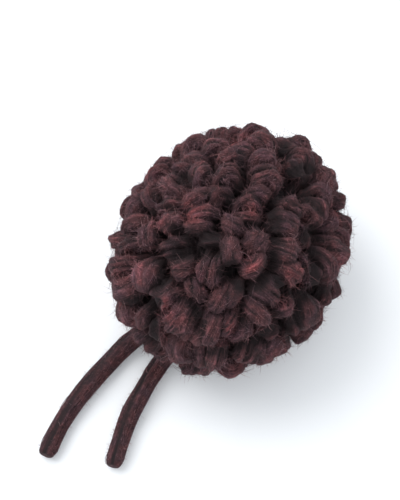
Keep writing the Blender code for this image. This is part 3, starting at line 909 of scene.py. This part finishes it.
def section_radius(chance, count, long, sides, angles, runs):
    """How far out a strand's surface is, as a share of its radius, and how shaded by its creases."""
    plies = chance.choice(PLIES, (count, 1, 1))
    phase = chance.uniform(0.0, 2 * math.pi, (count, 1, 1))
    turn = chance.uniform(-1.0, 1.0, (count, 1, 1)) * TURNS * 2 * math.pi
    drift = smooth_noise(chance, count, long, SLOW_KNOTS, DRIFT)[:, :, None]
    round_place = angles[None, None, :] + phase + drift + runs[None, :, None] * turn
    ply = 1.0 - np.abs(np.cos(plies * round_place / 2))
    strength = chance.uniform(*PLY_DEEP, (count, 1, 1))
    strength = strength * (1.0 + smooth_noise(chance, count, long, SLOW_KNOTS, PLY_VARIES)[:, :, None])
    fine = 1.0 - np.abs(np.cos(FINE_CREASES * (round_place + 0.6 * drift) / 2 + phase))
    shape = 1.0 - strength * ply**1.5 - FINE_DEEP * fine**2
    shape += smooth_noise(chance, count, long, SLOW_KNOTS, SWELL)[:, :, None]
    crease = np.clip(ply**3 * strength / PLY_DARK_AT, 0.0, 1.2) * PLY_SHADE + fine**3 * FINE_SHADE
    return shape, np.broadcast_to(crease, shape.shape)


def lumps(chance, points):
    """An uneven number in mm at each point: waves of wool in every direction."""
    total = np.zeros(points.shape[:-1])
    for shortest, longest, strength in LUMPS:
        for _ in range(LUMP_WAVES):
            way = unit(chance.standard_normal(3))
            wave = way * 2 * math.pi / chance.uniform(shortest, longest)
            phase = chance.uniform(0.0, 2 * math.pi)
            total += np.cos(points @ wave + phase) * strength * math.sqrt(2 / LUMP_WAVES)
    return total


def strand_rings(chance, lines, shares, guide, deep, wide):
    """Ring points of strands round their middle lines, and each one's painted shade from its creases,
    lighter where lumps stand high, as painted light.
    """
    count, long, _ = lines.shape
    angles = np.linspace(0.0, 2 * math.pi, YARN_SIDES, endpoint=False)
    _, first, second = frames_along(lines, guide)
    runs = np.linspace(0.0, 1.0, long)
    shape, crease = section_radius(chance, count, long, YARN_SIDES, angles, runs)
    spread = shares[:, :, None] ** TAPER * shape
    across = spread * np.cos(angles) * deep[:, None, None]
    rings = ringed(lines, first, second, across, spread * np.sin(angles) * wide[:, None, None])
    high = lumps(chance, rings)
    rings += unit(rings - lines[:, :, None, :]) * (high * shares[:, :, None])[..., None]
    return rings, np.clip(crease - high * LUMP_LIGHT, 0.0, 1.0)


def meeting(rings, lines, shares, guide, deep, wide):
    """How shaded each ring point is by another loop's strand: MEET_DARK inside one, 0 well off them."""
    count, long, _ = lines.shape
    along, first, second = frames_along(lines, guide)
    full = shares**TAPER
    centres = lines.reshape(-1, 3)
    owner = np.repeat(np.arange(count), long)
    axes = (
        (along / MEET_ALONG).reshape(-1, 3),
        (first / (full * deep[:, None])[..., None]).reshape(-1, 3),
        (second / (full * wide[:, None])[..., None]).reshape(-1, 3),
    )
    met = np.zeros(rings.shape[:-1])
    for own in range(count):
        points = rings[own].reshape(-1, 3)
        boxed = (centres > points.min(0) - MEET_REACH) & (centres < points.max(0) + MEET_REACH)
        near = np.nonzero((owner != own) & boxed.all(-1))[0]
        off = sum((points @ axis[near].T - (centres[near] * axis[near]).sum(-1)) ** 2 for axis in axes)
        closest = np.sqrt(off.min(1))
        met[own] = np.clip((MEET_FROM - closest) / MEET_FADE, 0.0, 1.0).reshape(met[own].shape)
    return met * MEET_DARK


def deepened(hollow, more):
    """Shade added to what is there, for places in the open, in the shade and lit red alike."""
    return np.where(hollow > 0, hollow + (1.0 - hollow) * more, hollow * (1.0 - more) + more)


def strand_uv(chance, lines, sides, radius):
    """Each ring point's place around and along its strand in mm, from the strand's own place on."""
    count = len(lines)
    steps = np.linalg.norm(np.diff(lines, axis=1), axis=2)
    gone = np.concatenate((np.zeros((count, 1)), np.cumsum(steps, axis=1)), axis=1)
    around = np.linspace(0.0, 2 * math.pi * radius, sides + 1)
    shift = chance.uniform(0.0, MAP_SPREAD, (count, 2))
    u = around[None, None, :] + shift[:, 0, None, None] + 0 * gone[:, :, None]
    v = gone[:, :, None] + shift[:, 1, None, None] + 0 * around[None, None, :]
    return np.stack((u, v), axis=-1)


def on_floor(points):
    """Nothing sinks into the floor: points near it are pressed onto it."""
    points[..., 2] = np.maximum(points[..., 2], FLOOR_LEAST)
    return points


def on_strand(rings, lines, owner, along, around):
    """Points on the surface of strands, and the way out of the strand there. along counts rings, and
    around counts sides."""
    sides = rings.shape[2]
    low = np.clip(along.astype(int), 0, rings.shape[1] - 2)
    share = (along - low)[..., None]
    left = np.floor(around).astype(int) % sides
    right = (left + 1) % sides
    turn = (around - np.floor(around))[..., None]
    own = np.broadcast_to(owner[:, None], along.shape)
    near = rings[own, low, left] * (1 - turn) + rings[own, low, right] * turn
    far = rings[own, low + 1, left] * (1 - turn) + rings[own, low + 1, right] * turn
    surface = near * (1 - share) + far * share
    inside = lines[own, low] * (1 - share) + lines[own, low + 1] * share
    return surface, unit(surface - inside)


def contact_shade_at(met, owner, along, around):
    """How dark the painted contact shade is at the ring points nearest to these places on strands."""
    own = np.broadcast_to(owner[:, None], along.shape)
    return met[own, np.round(along).astype(int), np.round(around).astype(int) % met.shape[2]]


def hair_rings(lines, thick):
    """Fine three-sided tubes round hairs' lines; thick is n x k."""
    _, first, second = frames_along(lines, np.tile(HAIR_GUIDE, (len(lines), 1)))
    thick = thick[:, :, None]
    return ringed(lines, first, second, thick * np.cos(HAIR_ANGLES), thick * np.sin(HAIR_ANGLES))


def spikes(name, chance, lines, thick, hollow, material):
    """One mesh of fine closed three-sided spikes drawn out to a point. lines is n x 2 x 3 for straight ones
    and n x 3 x 3 for ones bent once; hollow is how shaded each one is."""
    count, knots, _ = lines.shape
    rings = on_floor(hair_rings(lines, thick)[:, : knots - 1])
    tips = on_floor(lines[:, -1])
    own = HAIR_SIDES * (knots - 1) + 1
    points = np.concatenate((rings.reshape(count, own - 1, 3), tips[:, None, :]), axis=1).reshape(-1, 3)
    pattern = np.array(BENT_SPIKE if knots == 3 else STRAIGHT_SPIKE)
    corners = (np.arange(count)[:, None, None] * own + pattern[None]).reshape(-1)
    starts = np.arange(0, len(corners), 3)
    strand_map = np.repeat(chance.uniform(0.0, MAP_SPREAD, (count, 2)), pattern.size, axis=0)
    cells = math.ceil(math.sqrt(count))
    places = [(side * 0.3, row * 0.45) for row in range(knots - 1) for side in range(HAIR_SIDES)]
    corner = np.array(places + [(0.3, 0.95)])[pattern.reshape(-1)]
    cell = np.stack((np.arange(count) % cells, np.arange(count) // cells), axis=1)
    bake_map = (cell[:, None, :] + SPIKE_MARGIN + SPIKE_INNER * corner[None]) / cells
    return made_piece(name, points, corners, starts, strand_map, bake_map, np.repeat(hollow, own), material)


def hair_uv(chance, count, long, sides):
    """Each hair reads its own spot of the roving's colours."""
    spot = chance.uniform(0.0, MAP_SPREAD, (count, 1, 1, 2))
    grid = np.zeros((count, long, sides + 1, 2))
    grid[..., 0] = np.linspace(0.0, 0.2, sides + 1)
    grid[..., 1] = np.linspace(0.0, 0.6, long)[:, None]
    return grid + spot


def laid_fibres(chance, rings, met, lines, each, start_along):
    """Fibres that lie along the strands, standing a little off them in places."""
    count = len(lines) * each
    owner = np.repeat(np.arange(len(lines)), each)
    shares = np.linspace(0.0, 1.0, LAID_KNOTS)
    begin = chance.uniform(*start_along, count)
    long = chance.uniform(0.14, 0.42, count) * rings.shape[1]
    along = np.clip(begin[:, None] + (shares - 0.5) * long[:, None], 0.2, rings.shape[1] - 1.2)
    sides = rings.shape[2]
    around = chance.uniform(0.14, 0.86, count)[:, None] * sides
    around = around + (shares - 0.5) * chance.uniform(-0.16, 0.16, (count, 1)) * sides
    around = around + smooth_noise(chance, count, LAID_KNOTS, 4, 0.5)
    surface, out = on_strand(rings, lines, owner, along, around)
    stand = np.sin(math.pi * shares) * np.abs(chance.standard_normal((count, 1))) * LAID_STAND + 0.03
    surface = surface + out * stand[..., None]
    surface += chance.uniform(-0.06, 0.06, surface.shape)
    belly = 0.35 + 0.65 * np.sin(math.pi * np.linspace(0.06, 0.94, LAID_KNOTS))
    thick = LAID_THICK * chance.uniform(0.5, 1.2, (count, 1)) * belly
    return surface, thick, contact_shade_at(met, owner, along, around)


def fuzz_hairs(chance, rings, met, lines, each, start_along, long, thick, knots):
    """Hairs that stand off the strands: short straight ones of 2 knots, or longer ones of 3 that curl."""
    count = len(lines) * each
    owner = np.repeat(np.arange(len(lines)), each)
    along = chance.uniform(*start_along, count)[:, None]
    around = chance.uniform(0.06, 0.94, count)[:, None] * rings.shape[2]
    root, out = on_strand(rings, lines, owner, along, around)
    root = root[:, 0]
    out = out[:, 0]
    beside = unit(np.cross(out, chance.standard_normal((count, 3))))
    lean = chance.uniform(0.1, 1.6, (count, 1))
    way = unit(out * 0.75 + beside * lean)
    bend = unit(np.cross(way, chance.standard_normal((count, 3)))) * chance.uniform(0.0, 1.3, (count, 1))
    length = chance.uniform(*long, (count, 1)) * chance.uniform(0.4, 1.0, (count, 1))
    hairs = np.zeros((count, knots, 3))
    hairs[:, 0] = root - out * FUZZ_ROOT
    step = length / (knots - 1)
    for place in range(1, knots):
        hairs[:, place] = hairs[:, place - 1] + way * step
        way = unit(way + bend * 0.6 + chance.standard_normal((count, 3)) * 0.12)
    thick = thick * chance.uniform(0.6, 1.2, (count, 1)) * np.linspace(1.0, 0.5, knots)
    return hairs, thick, contact_shade_at(met, owner, along, around)[:, 0]


def crossing_fibres(chance, rings, lines, count):
    """Long loose fibres that start on a strand and run over the ball, from loop to loop."""
    owner = chance.randint(0, len(lines), count)
    long = rings.shape[1]
    along = chance.uniform(0.3 * long, 0.7 * long, count)[:, None]
    around = chance.uniform(0.25, 0.75, count)[:, None] * rings.shape[2]
    root, _ = on_strand(rings, lines, owner, along, around)
    middle = MIDDLE + CENTRED
    start = root[:, 0] - middle
    normal = unit(start / HALVES**2)
    way = unit(np.cross(normal, chance.standard_normal((count, 3))))
    level = reach(start) + chance.uniform(-0.02, 0.006, count)
    stride = chance.uniform(*CROSSING_LONG, (count, 1)) / (CROSSING_KNOTS - 1)
    fibres = np.zeros((count, CROSSING_KNOTS, 3))
    here = start
    for place in range(CROSSING_KNOTS):
        fibres[:, place] = here * (level / reach(here))[:, None]
        normal = unit(here / HALVES**2)
        way = way + np.cross(normal, way) * chance.uniform(-0.5, 0.5, (count, 1))
        way = unit(way - normal * (way * normal).sum(-1, keepdims=True))
        here = here + way * stride
        level = level + chance.uniform(-0.012, 0.006, count)
    belly = 0.4 + 0.6 * np.sin(math.pi * np.linspace(0.05, 0.95, CROSSING_KNOTS))
    thick = CROSSING_THICK * chance.uniform(0.6, 1.2, (count, 1)) * belly
    return fibres + middle, thick


def hair_piece(name, chance, lines, thick, hollow, material):
    """One mesh of fine tubes; hollow is how shaded each point of their lines is."""
    rings = on_floor(hair_rings(lines, thick))
    hollow = np.repeat(hollow[:, :, None], HAIR_SIDES, axis=2)
    return tubes(name, rings, hair_uv(chance, len(lines), lines.shape[1], HAIR_SIDES), hollow, material)


def ball_shade(points, contact_shade):
    """How shaded points on the ball are, with the painted contact shade between its strands."""
    return deepened(shading(points - MIDDLE - CENTRED), contact_shade)


def node(tree, kind, **sockets):
    made = tree.nodes.new(kind)
    for name, value in sockets.items():
        made.inputs[name.replace("_", " ")].default_value = value
    return made


def stretched(tree, uv, across, along):
    """The strand's own coordinates, scaled apart, so that a noise becomes streaks along it."""
    mapping = tree.nodes.new("ShaderNodeMapping")
    mapping.inputs["Scale"].default_value = (across, along, 1.0)
    tree.links.new(uv.outputs["UV"], mapping.inputs["Vector"])
    return mapping


def noise(tree, vector, scale, detail, rough, distortion=0.0):
    sizes = {"Scale": scale, "Detail": detail, "Roughness": rough, "Distortion": distortion}
    made = node(tree, "ShaderNodeTexNoise", **sizes)
    tree.links.new(vector, made.inputs["Vector"])
    return made.outputs["Fac"]


def math_node(tree, operation, first, second):
    made = tree.nodes.new("ShaderNodeMath")
    made.operation = operation
    for place, value in enumerate((first, second)):
        if isinstance(value, (int, float)):
            made.inputs[place].default_value = value
        else:
            tree.links.new(value, made.inputs[place])
    return made.outputs["Value"]


def mixed_colour(tree, blend, share, colour, other):
    """The colour with a share of the other one mixed or multiplied in."""
    made = tree.nodes.new("ShaderNodeMix")
    made.data_type = "RGBA"
    made.blend_type = blend
    made.clamp_factor = False
    tree.links.new(share, made.inputs["Factor"])
    tree.links.new(colour, made.inputs[6])
    made.inputs[7].default_value = (*other, 1.0)
    return made.outputs[2]


def weighted(tree, *parts):
    """The sum of several values, each times its own weight."""
    scaled = [math_node(tree, "MULTIPLY", value, weight) for value, weight in parts]
    total = scaled[0]
    for part in scaled[1:]:
        total = math_node(tree, "ADD", total, part)
    return total


def clamped(tree, value, most=1.0):
    return math_node(tree, "MINIMUM", math_node(tree, "MAXIMUM", value, 0.0), most)


def roving(name, ramp, sheen, bump):
    """Brushed wool: streaks of fibre along the strand, blotches of tone and hue over the ball, a sheen, and
    painted shade and redder painted light from each point's hollow attribute.
    """
    material = bpy.data.materials.new(name)
    material.use_nodes = True
    tree = material.node_tree
    shader = tree.nodes["Principled BSDF"]
    uv = tree.nodes.new("ShaderNodeUVMap")
    uv.uv_map = "Strand"
    place = tree.nodes.new("ShaderNodeTexCoord")
    wide = noise(tree, stretched(tree, uv, 0.85, 0.07).outputs["Vector"], 1.0, 3.0, 0.6, 0.4)
    fine = noise(tree, stretched(tree, uv, 1.9, 0.22).outputs["Vector"], 1.0, 3.0, 0.65, 0.3)
    blotch = noise(tree, place.outputs["Object"], 55.0, 3.0, 0.55)
    tuft = noise(tree, place.outputs["Object"], 680.0, 4.0, 0.68, 0.9)
    hue = noise(tree, place.outputs["Object"], 170.0, 3.0, 0.6)
    mixed = weighted(tree, (wide, 0.28), (fine, 0.26), (tuft, 0.34), (blotch, 0.12))
    colours = tree.nodes.new("ShaderNodeValToRGB")
    for element, (position, colour) in zip(colours.color_ramp.elements, (ramp[0], ramp[-1])):
        element.position = position
        element.color = (*colour, 1.0)
    for position, colour in ramp[1:-1]:
        colours.color_ramp.elements.new(position).color = (*colour, 1.0)
    tree.links.new(mixed, colours.inputs["Fac"])
    # hollow paints shade into the colour, mixing it towards VALLEY_DARK, and below 0 paints redder light.
    hollow = tree.nodes.new("ShaderNodeAttribute")
    hollow.attribute_name = "hollow"
    dark = clamped(tree, hollow.outputs["Fac"], MOST_DARK)
    red = clamped(tree, weighted(tree, (hollow.outputs["Fac"], -1.0)))
    cool = clamped(tree, weighted(tree, (math_node(tree, "SUBTRACT", COOL_BELOW, hue), HUE_CONTRAST)))
    warm = clamped(tree, weighted(tree, (math_node(tree, "SUBTRACT", hue, WARM_ABOVE), HUE_CONTRAST)))
    varied = mixed_colour(tree, "MULTIPLY", cool, colours.outputs["Color"], COOL_SHADE)
    varied = mixed_colour(tree, "MULTIPLY", warm, varied, WARM_SHADE)
    reddened = mixed_colour(tree, "MULTIPLY", red, varied, RED_LIGHT)
    darkened = mixed_colour(tree, "MIX", dark, reddened, VALLEY_DARK)
    tree.links.new(darkened, shader.inputs["Base Color"])
    rough = math_node(tree, "ADD", weighted(tree, (fine, 0.2)), 0.76)
    tree.links.new(rough, shader.inputs["Roughness"])
    raised = node(tree, "ShaderNodeBump", Strength=bump, Distance=BUMP_HIGH)
    tree.links.new(weighted(tree, (wide, 0.5), (fine, 0.3), (tuft, 0.5)), raised.inputs["Height"])
    tree.links.new(raised.outputs["Normal"], shader.inputs["Normal"])
    shader.inputs["Specular IOR Level"].default_value = 0.22
    shader.inputs["Sheen Weight"].default_value = sheen
    shader.inputs["Sheen Roughness"].default_value = 0.45
    shader.inputs["Sheen Tint"].default_value = (*SHEEN_TINT, 1.0)
    return material


def make_core(material):
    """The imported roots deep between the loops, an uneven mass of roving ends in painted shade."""
    down = np.linspace(0.012, math.pi - 0.012, CORE_ROWS)[:, None]
    turn = np.linspace(0.0, 2 * math.pi, CORE_SIDES, endpoint=False)[None, :]
    shape = 1.0 + CORE_RIPPLE * np.cos(turn * 17 + down * 9) + CORE_RIPPLE * np.sin(down * 23 + turn * 5)
    level = shape * np.sin(down)
    ball = np.stack((level * np.cos(turn), level * np.sin(turn), shape * np.cos(down)), axis=-1)
    rings = ball * HALVES * CORE_SHARE + MIDDLE + CENTRED
    around, along = np.meshgrid(np.arange(CORE_SIDES + 1) * 1.5, np.arange(CORE_ROWS) * 1.5)
    grid = np.stack((around, along), axis=-1)[None]
    hollow = np.full((1, CORE_ROWS, CORE_SIDES), CORE_SHADE)
    return tubes("packed_roots", rings[None, :, ::-1], grid, hollow, material)


def belongs(piece, node_name):
    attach(piece, "root")
    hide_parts(node_name)


def sunk(points):
    """Points from the ball's middle, sunk where a valley runs and drawn off it to both sides."""
    sink, push = valleys(points)
    rim = np.clip((reach(points) - SUNK_FROM) / SUNK_FADE, 0.0, 1.0)
    inwards = sink * SUNK_SHARE * rim / np.linalg.norm(points, axis=-1)
    return points * (1.0 - inwards)[..., None] + push * rim[..., None]


def make_ball(roving_material, hair_material, fuzz_material, down_material, deep_material):
    """The loops with their fibres, fuzz and down in two halves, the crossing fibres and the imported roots."""
    chance = np.random.RandomState(7)
    laid = laid_loops()
    lines, shares, sideways = loop_lines(laid, chance)
    lines = lines + MIDDLE + CENTRED
    count, long, _ = lines.shape
    guide = np.cross(sideways, unit(lines[:, 1] - lines[:, 0]))
    widths = np.array([loop[2] for loop in laid])
    wide = widths / 2 * YARN_FULLER * chance.uniform(*YARN_VARIES, count)
    deep = YARN_DEEP + YARN_DEEP_SHARE * widths
    rings, crease = strand_rings(chance, lines, shares, guide, deep, wide)
    met = meeting(rings, lines, shares, guide, deep, wide)
    hollow = deepened(ball_shade(rings, crease), met)
    rings = on_floor(sunk(rings - MIDDLE - CENTRED) + MIDDLE + CENTRED)
    strand_map = strand_uv(chance, lines, YARN_SIDES, YARN_MAP_RADIUS)
    laid_along, fuzz_along = (np.array(part) * long for part in (LAID_ALONG, FUZZ_ALONG))
    standing = (
        ("fuzz", FUZZ_FIBRES, FUZZ_LONG, FUZZ_THICK, 3, fuzz_material),
        ("down", DOWN_FIBRES, DOWN_LONG, DOWN_THICK, 2, down_material),
    )
    pieces = []
    for number, own in enumerate(np.array_split(np.arange(count), 2), 1):
        pieces.append(tubes(f"loops_{number}", rings[own], strand_map[own], hollow[own], roving_material))
        strands = (rings[own], met[own], lines[own])
        hairs, thick, contact_shade = laid_fibres(chance, *strands, LAID_FIBRES, laid_along)
        shade = ball_shade(hairs, contact_shade)
        pieces.append(hair_piece(f"loop_fibres_{number}", chance, hairs, thick, shade, hair_material))
        for kind, each, length, radius, knots, material in standing:
            hairs, thick, contact_shade = fuzz_hairs(chance, *strands, each, fuzz_along, length, radius, knots)
            shade = ball_shade(hairs[:, 0], contact_shade)
            pieces.append(spikes(f"loop_{kind}_{number}", chance, hairs, thick, shade, material))
    hairs, thick = crossing_fibres(chance, rings, lines, CROSSING_FIBRES)
    pieces.append(hair_piece("crossing_fibres", chance, hairs, thick, ball_shade(hairs, 0.0), hair_material))
    pieces.append(make_core(deep_material))
    for piece in pieces:
        belongs(piece, "pompom")


def make_tail(name, route, seed, roving_material, hair_material, fuzz_material):
    """One free end of the tie: a flattened soft strand with a crease along it, cut plainly."""
    chance = np.random.RandomState(seed)
    lines = (tail_points(route, TAIL_RING_STEP) + CENTRED)[None]
    long = lines.shape[1]
    angles = np.linspace(0.0, 2 * math.pi, TAIL_SIDES, endpoint=False)
    _, first, second = frames_along(lines, np.array(((0.0, 0.0, 1.0),)))
    runs = np.linspace(0.0, 1.0, long)
    shape, crease = section_radius(chance, 1, long, TAIL_SIDES, angles, runs)
    shape = 1.0 - (1.0 - shape) * TAIL_PLIES
    off = np.angle(np.exp(1j * (angles[None, :] - 0.35 * np.sin(runs * 5.0)[:, None] - 0.2)))
    cleft = np.exp(-((off / CLEFT_HALF) ** 2))
    size = TAIL_SEEN * np.ones(long)
    size[-2:] *= TAIL_CUT
    spread = size[None, :, None] * shape * (1.0 - CLEFT_DEEP * cleft[None])
    across = spread * np.cos(angles) * TAIL_FLAT[0]
    rings = on_floor(ringed(lines, first, second, across, spread * np.sin(angles) * TAIL_FLAT[1]))
    # The end is darker all over, and painted shade darkens it more in its plies' creases and along its crease.
    hollow = np.clip(0.20 + crease * 0.4 + cleft[None] * 0.7, 0.0, 1.0)
    strand_map = strand_uv(chance, lines, TAIL_SIDES, TAIL_SEEN)
    tube = tubes(name + "_strand", rings, strand_map, hollow, roving_material)
    every = (1.0, long - 2.0)
    strands = (rings, np.zeros(rings.shape[:-1]), lines)
    hairs, thick, contact_shade = laid_fibres(chance, *strands, TAIL_FIBRES, every)
    laid = hair_piece(name + "_fibres", chance, hairs, thick, contact_shade, hair_material)
    hairs, thick, contact_shade = fuzz_hairs(chance, *strands, TAIL_FUZZ, every, TAIL_FUZZ_LONG, FUZZ_THICK, 3)
    fuzz = spikes(name + "_fuzz", chance, hairs, thick, contact_shade, fuzz_material)
    for piece in (tube, laid, fuzz):
        belongs(piece, name)
    path = tail_points(route, CORD_STEP) + CENTRED


def floor_material():
    material = bpy.data.materials.new("floor")
    material.use_nodes = True
    shader = material.node_tree.nodes["Principled BSDF"]
    shader.inputs["Base Color"].default_value = (*FLOOR_COLOUR, 1.0)
    # A faint glow, no lamp: painted light that lifts the ball's shadow on the floor.
    shader.inputs["Emission Color"].default_value = (*FLOOR_GLOW, 1.0)
    shader.inputs["Emission Strength"].default_value = FLOOR_GLOW_STRENGTH
    shader.inputs["Roughness"].default_value = 0.75
    shader.inputs["Specular IOR Level"].default_value = 0.2
    return material


def make_stage():
    data = bpy.data.meshes.new("floor")
    ways = ((-1, -1), (1, -1), (1, 1), (-1, 1))
    data.from_pydata([(x * FLOOR_HALF, y * FLOOR_HALF, 0) for x, y in ways], [], [(0, 1, 2, 3)])
    data.materials.append(floor_material())
    floor = bpy.data.objects.new("floor", data)
    bpy.context.scene.collection.objects.link(floor)
    world = bpy.data.worlds.new("studio")
    world.use_nodes = True
    sky = world.node_tree.nodes["Background"]
    sky.inputs["Color"].default_value = (*WORLD_COLOUR, 1.0)
    sky.inputs["Strength"].default_value = WORLD_STRENGTH
    bpy.context.scene.world = world


def make_light():
    """A large soft light from the upper left of the view, aimed at the ball's middle height."""
    across, _, _ = seen_axes()
    ahead = np.array((-across[1], across[0], 0.0))
    place = -across * KEY_AWAY[0] + ahead * KEY_AWAY[1] + np.array((0.0, 0.0, KEY_AWAY[2]))
    light = bpy.data.lights.new("key", "AREA")
    light.shape = "DISK"
    light.size = KEY_SIZE
    light.energy = KEY_WATTS
    lamp = bpy.data.objects.new("key", light)
    lamp.location = place
    lamp.rotation_euler = (Vector(KEY_AIM) - Vector(place)).to_track_quat("-Z", "Y").to_euler()
    bpy.context.scene.collection.objects.link(lamp)


def make_camera():
    """The view of the photo: its pixels keep their size and place at the ball's middle."""
    across, up, eye = seen_axes()
    data = bpy.data.cameras.new("camera")
    data.sensor_fit = "VERTICAL"
    data.sensor_height = SENSOR
    data.lens = SENSOR * CAMERA_AWAY / (PICTURE_HIGH * MM_PER_PIXEL * MM)
    data.clip_start = 0.05
    camera = bpy.data.objects.new("camera", data)
    right, high = picture_place(PICTURE_WIDE / 2, PICTURE_HIGH / 2)
    aim = MIDDLE + across * right + up * high
    camera.location = Vector(aim * MM + eye * CAMERA_AWAY)
    camera.rotation_euler = Vector(-eye).to_track_quat("-Z", "Y").to_euler()
    bpy.context.scene.collection.objects.link(camera)
    bpy.context.scene.camera = camera
    bpy.context.scene.view_settings.view_transform = "Standard"


make_stage()
make_light()
make_camera()
YARN = roving("roving", YARN_RAMP, 0.05, 0.6)
# Painted light: the loose fibres, the down and the fuzz are lighter copies of the roving.
HAIR = roving("loose_fibre", HAIR_RAMP, 0.06, 0.0)
DOWN = roving("down", DOWN_RAMP, 0.0, 0.0)
FUZZ = roving("fuzz", FUZZ_RAMP, 0.0, 0.0)
DEEP = roving("deep_roving", DEEP_RAMP, 0.0, 0.6)
make_ball(YARN, HAIR, FUZZ, DOWN, DEEP)
make_tail("tail_left", TAIL_LEFT_ROUTE, 11, YARN, HAIR, FUZZ)
make_tail("tail_right", TAIL_RIGHT_ROUTE, 12, YARN, HAIR, FUZZ)
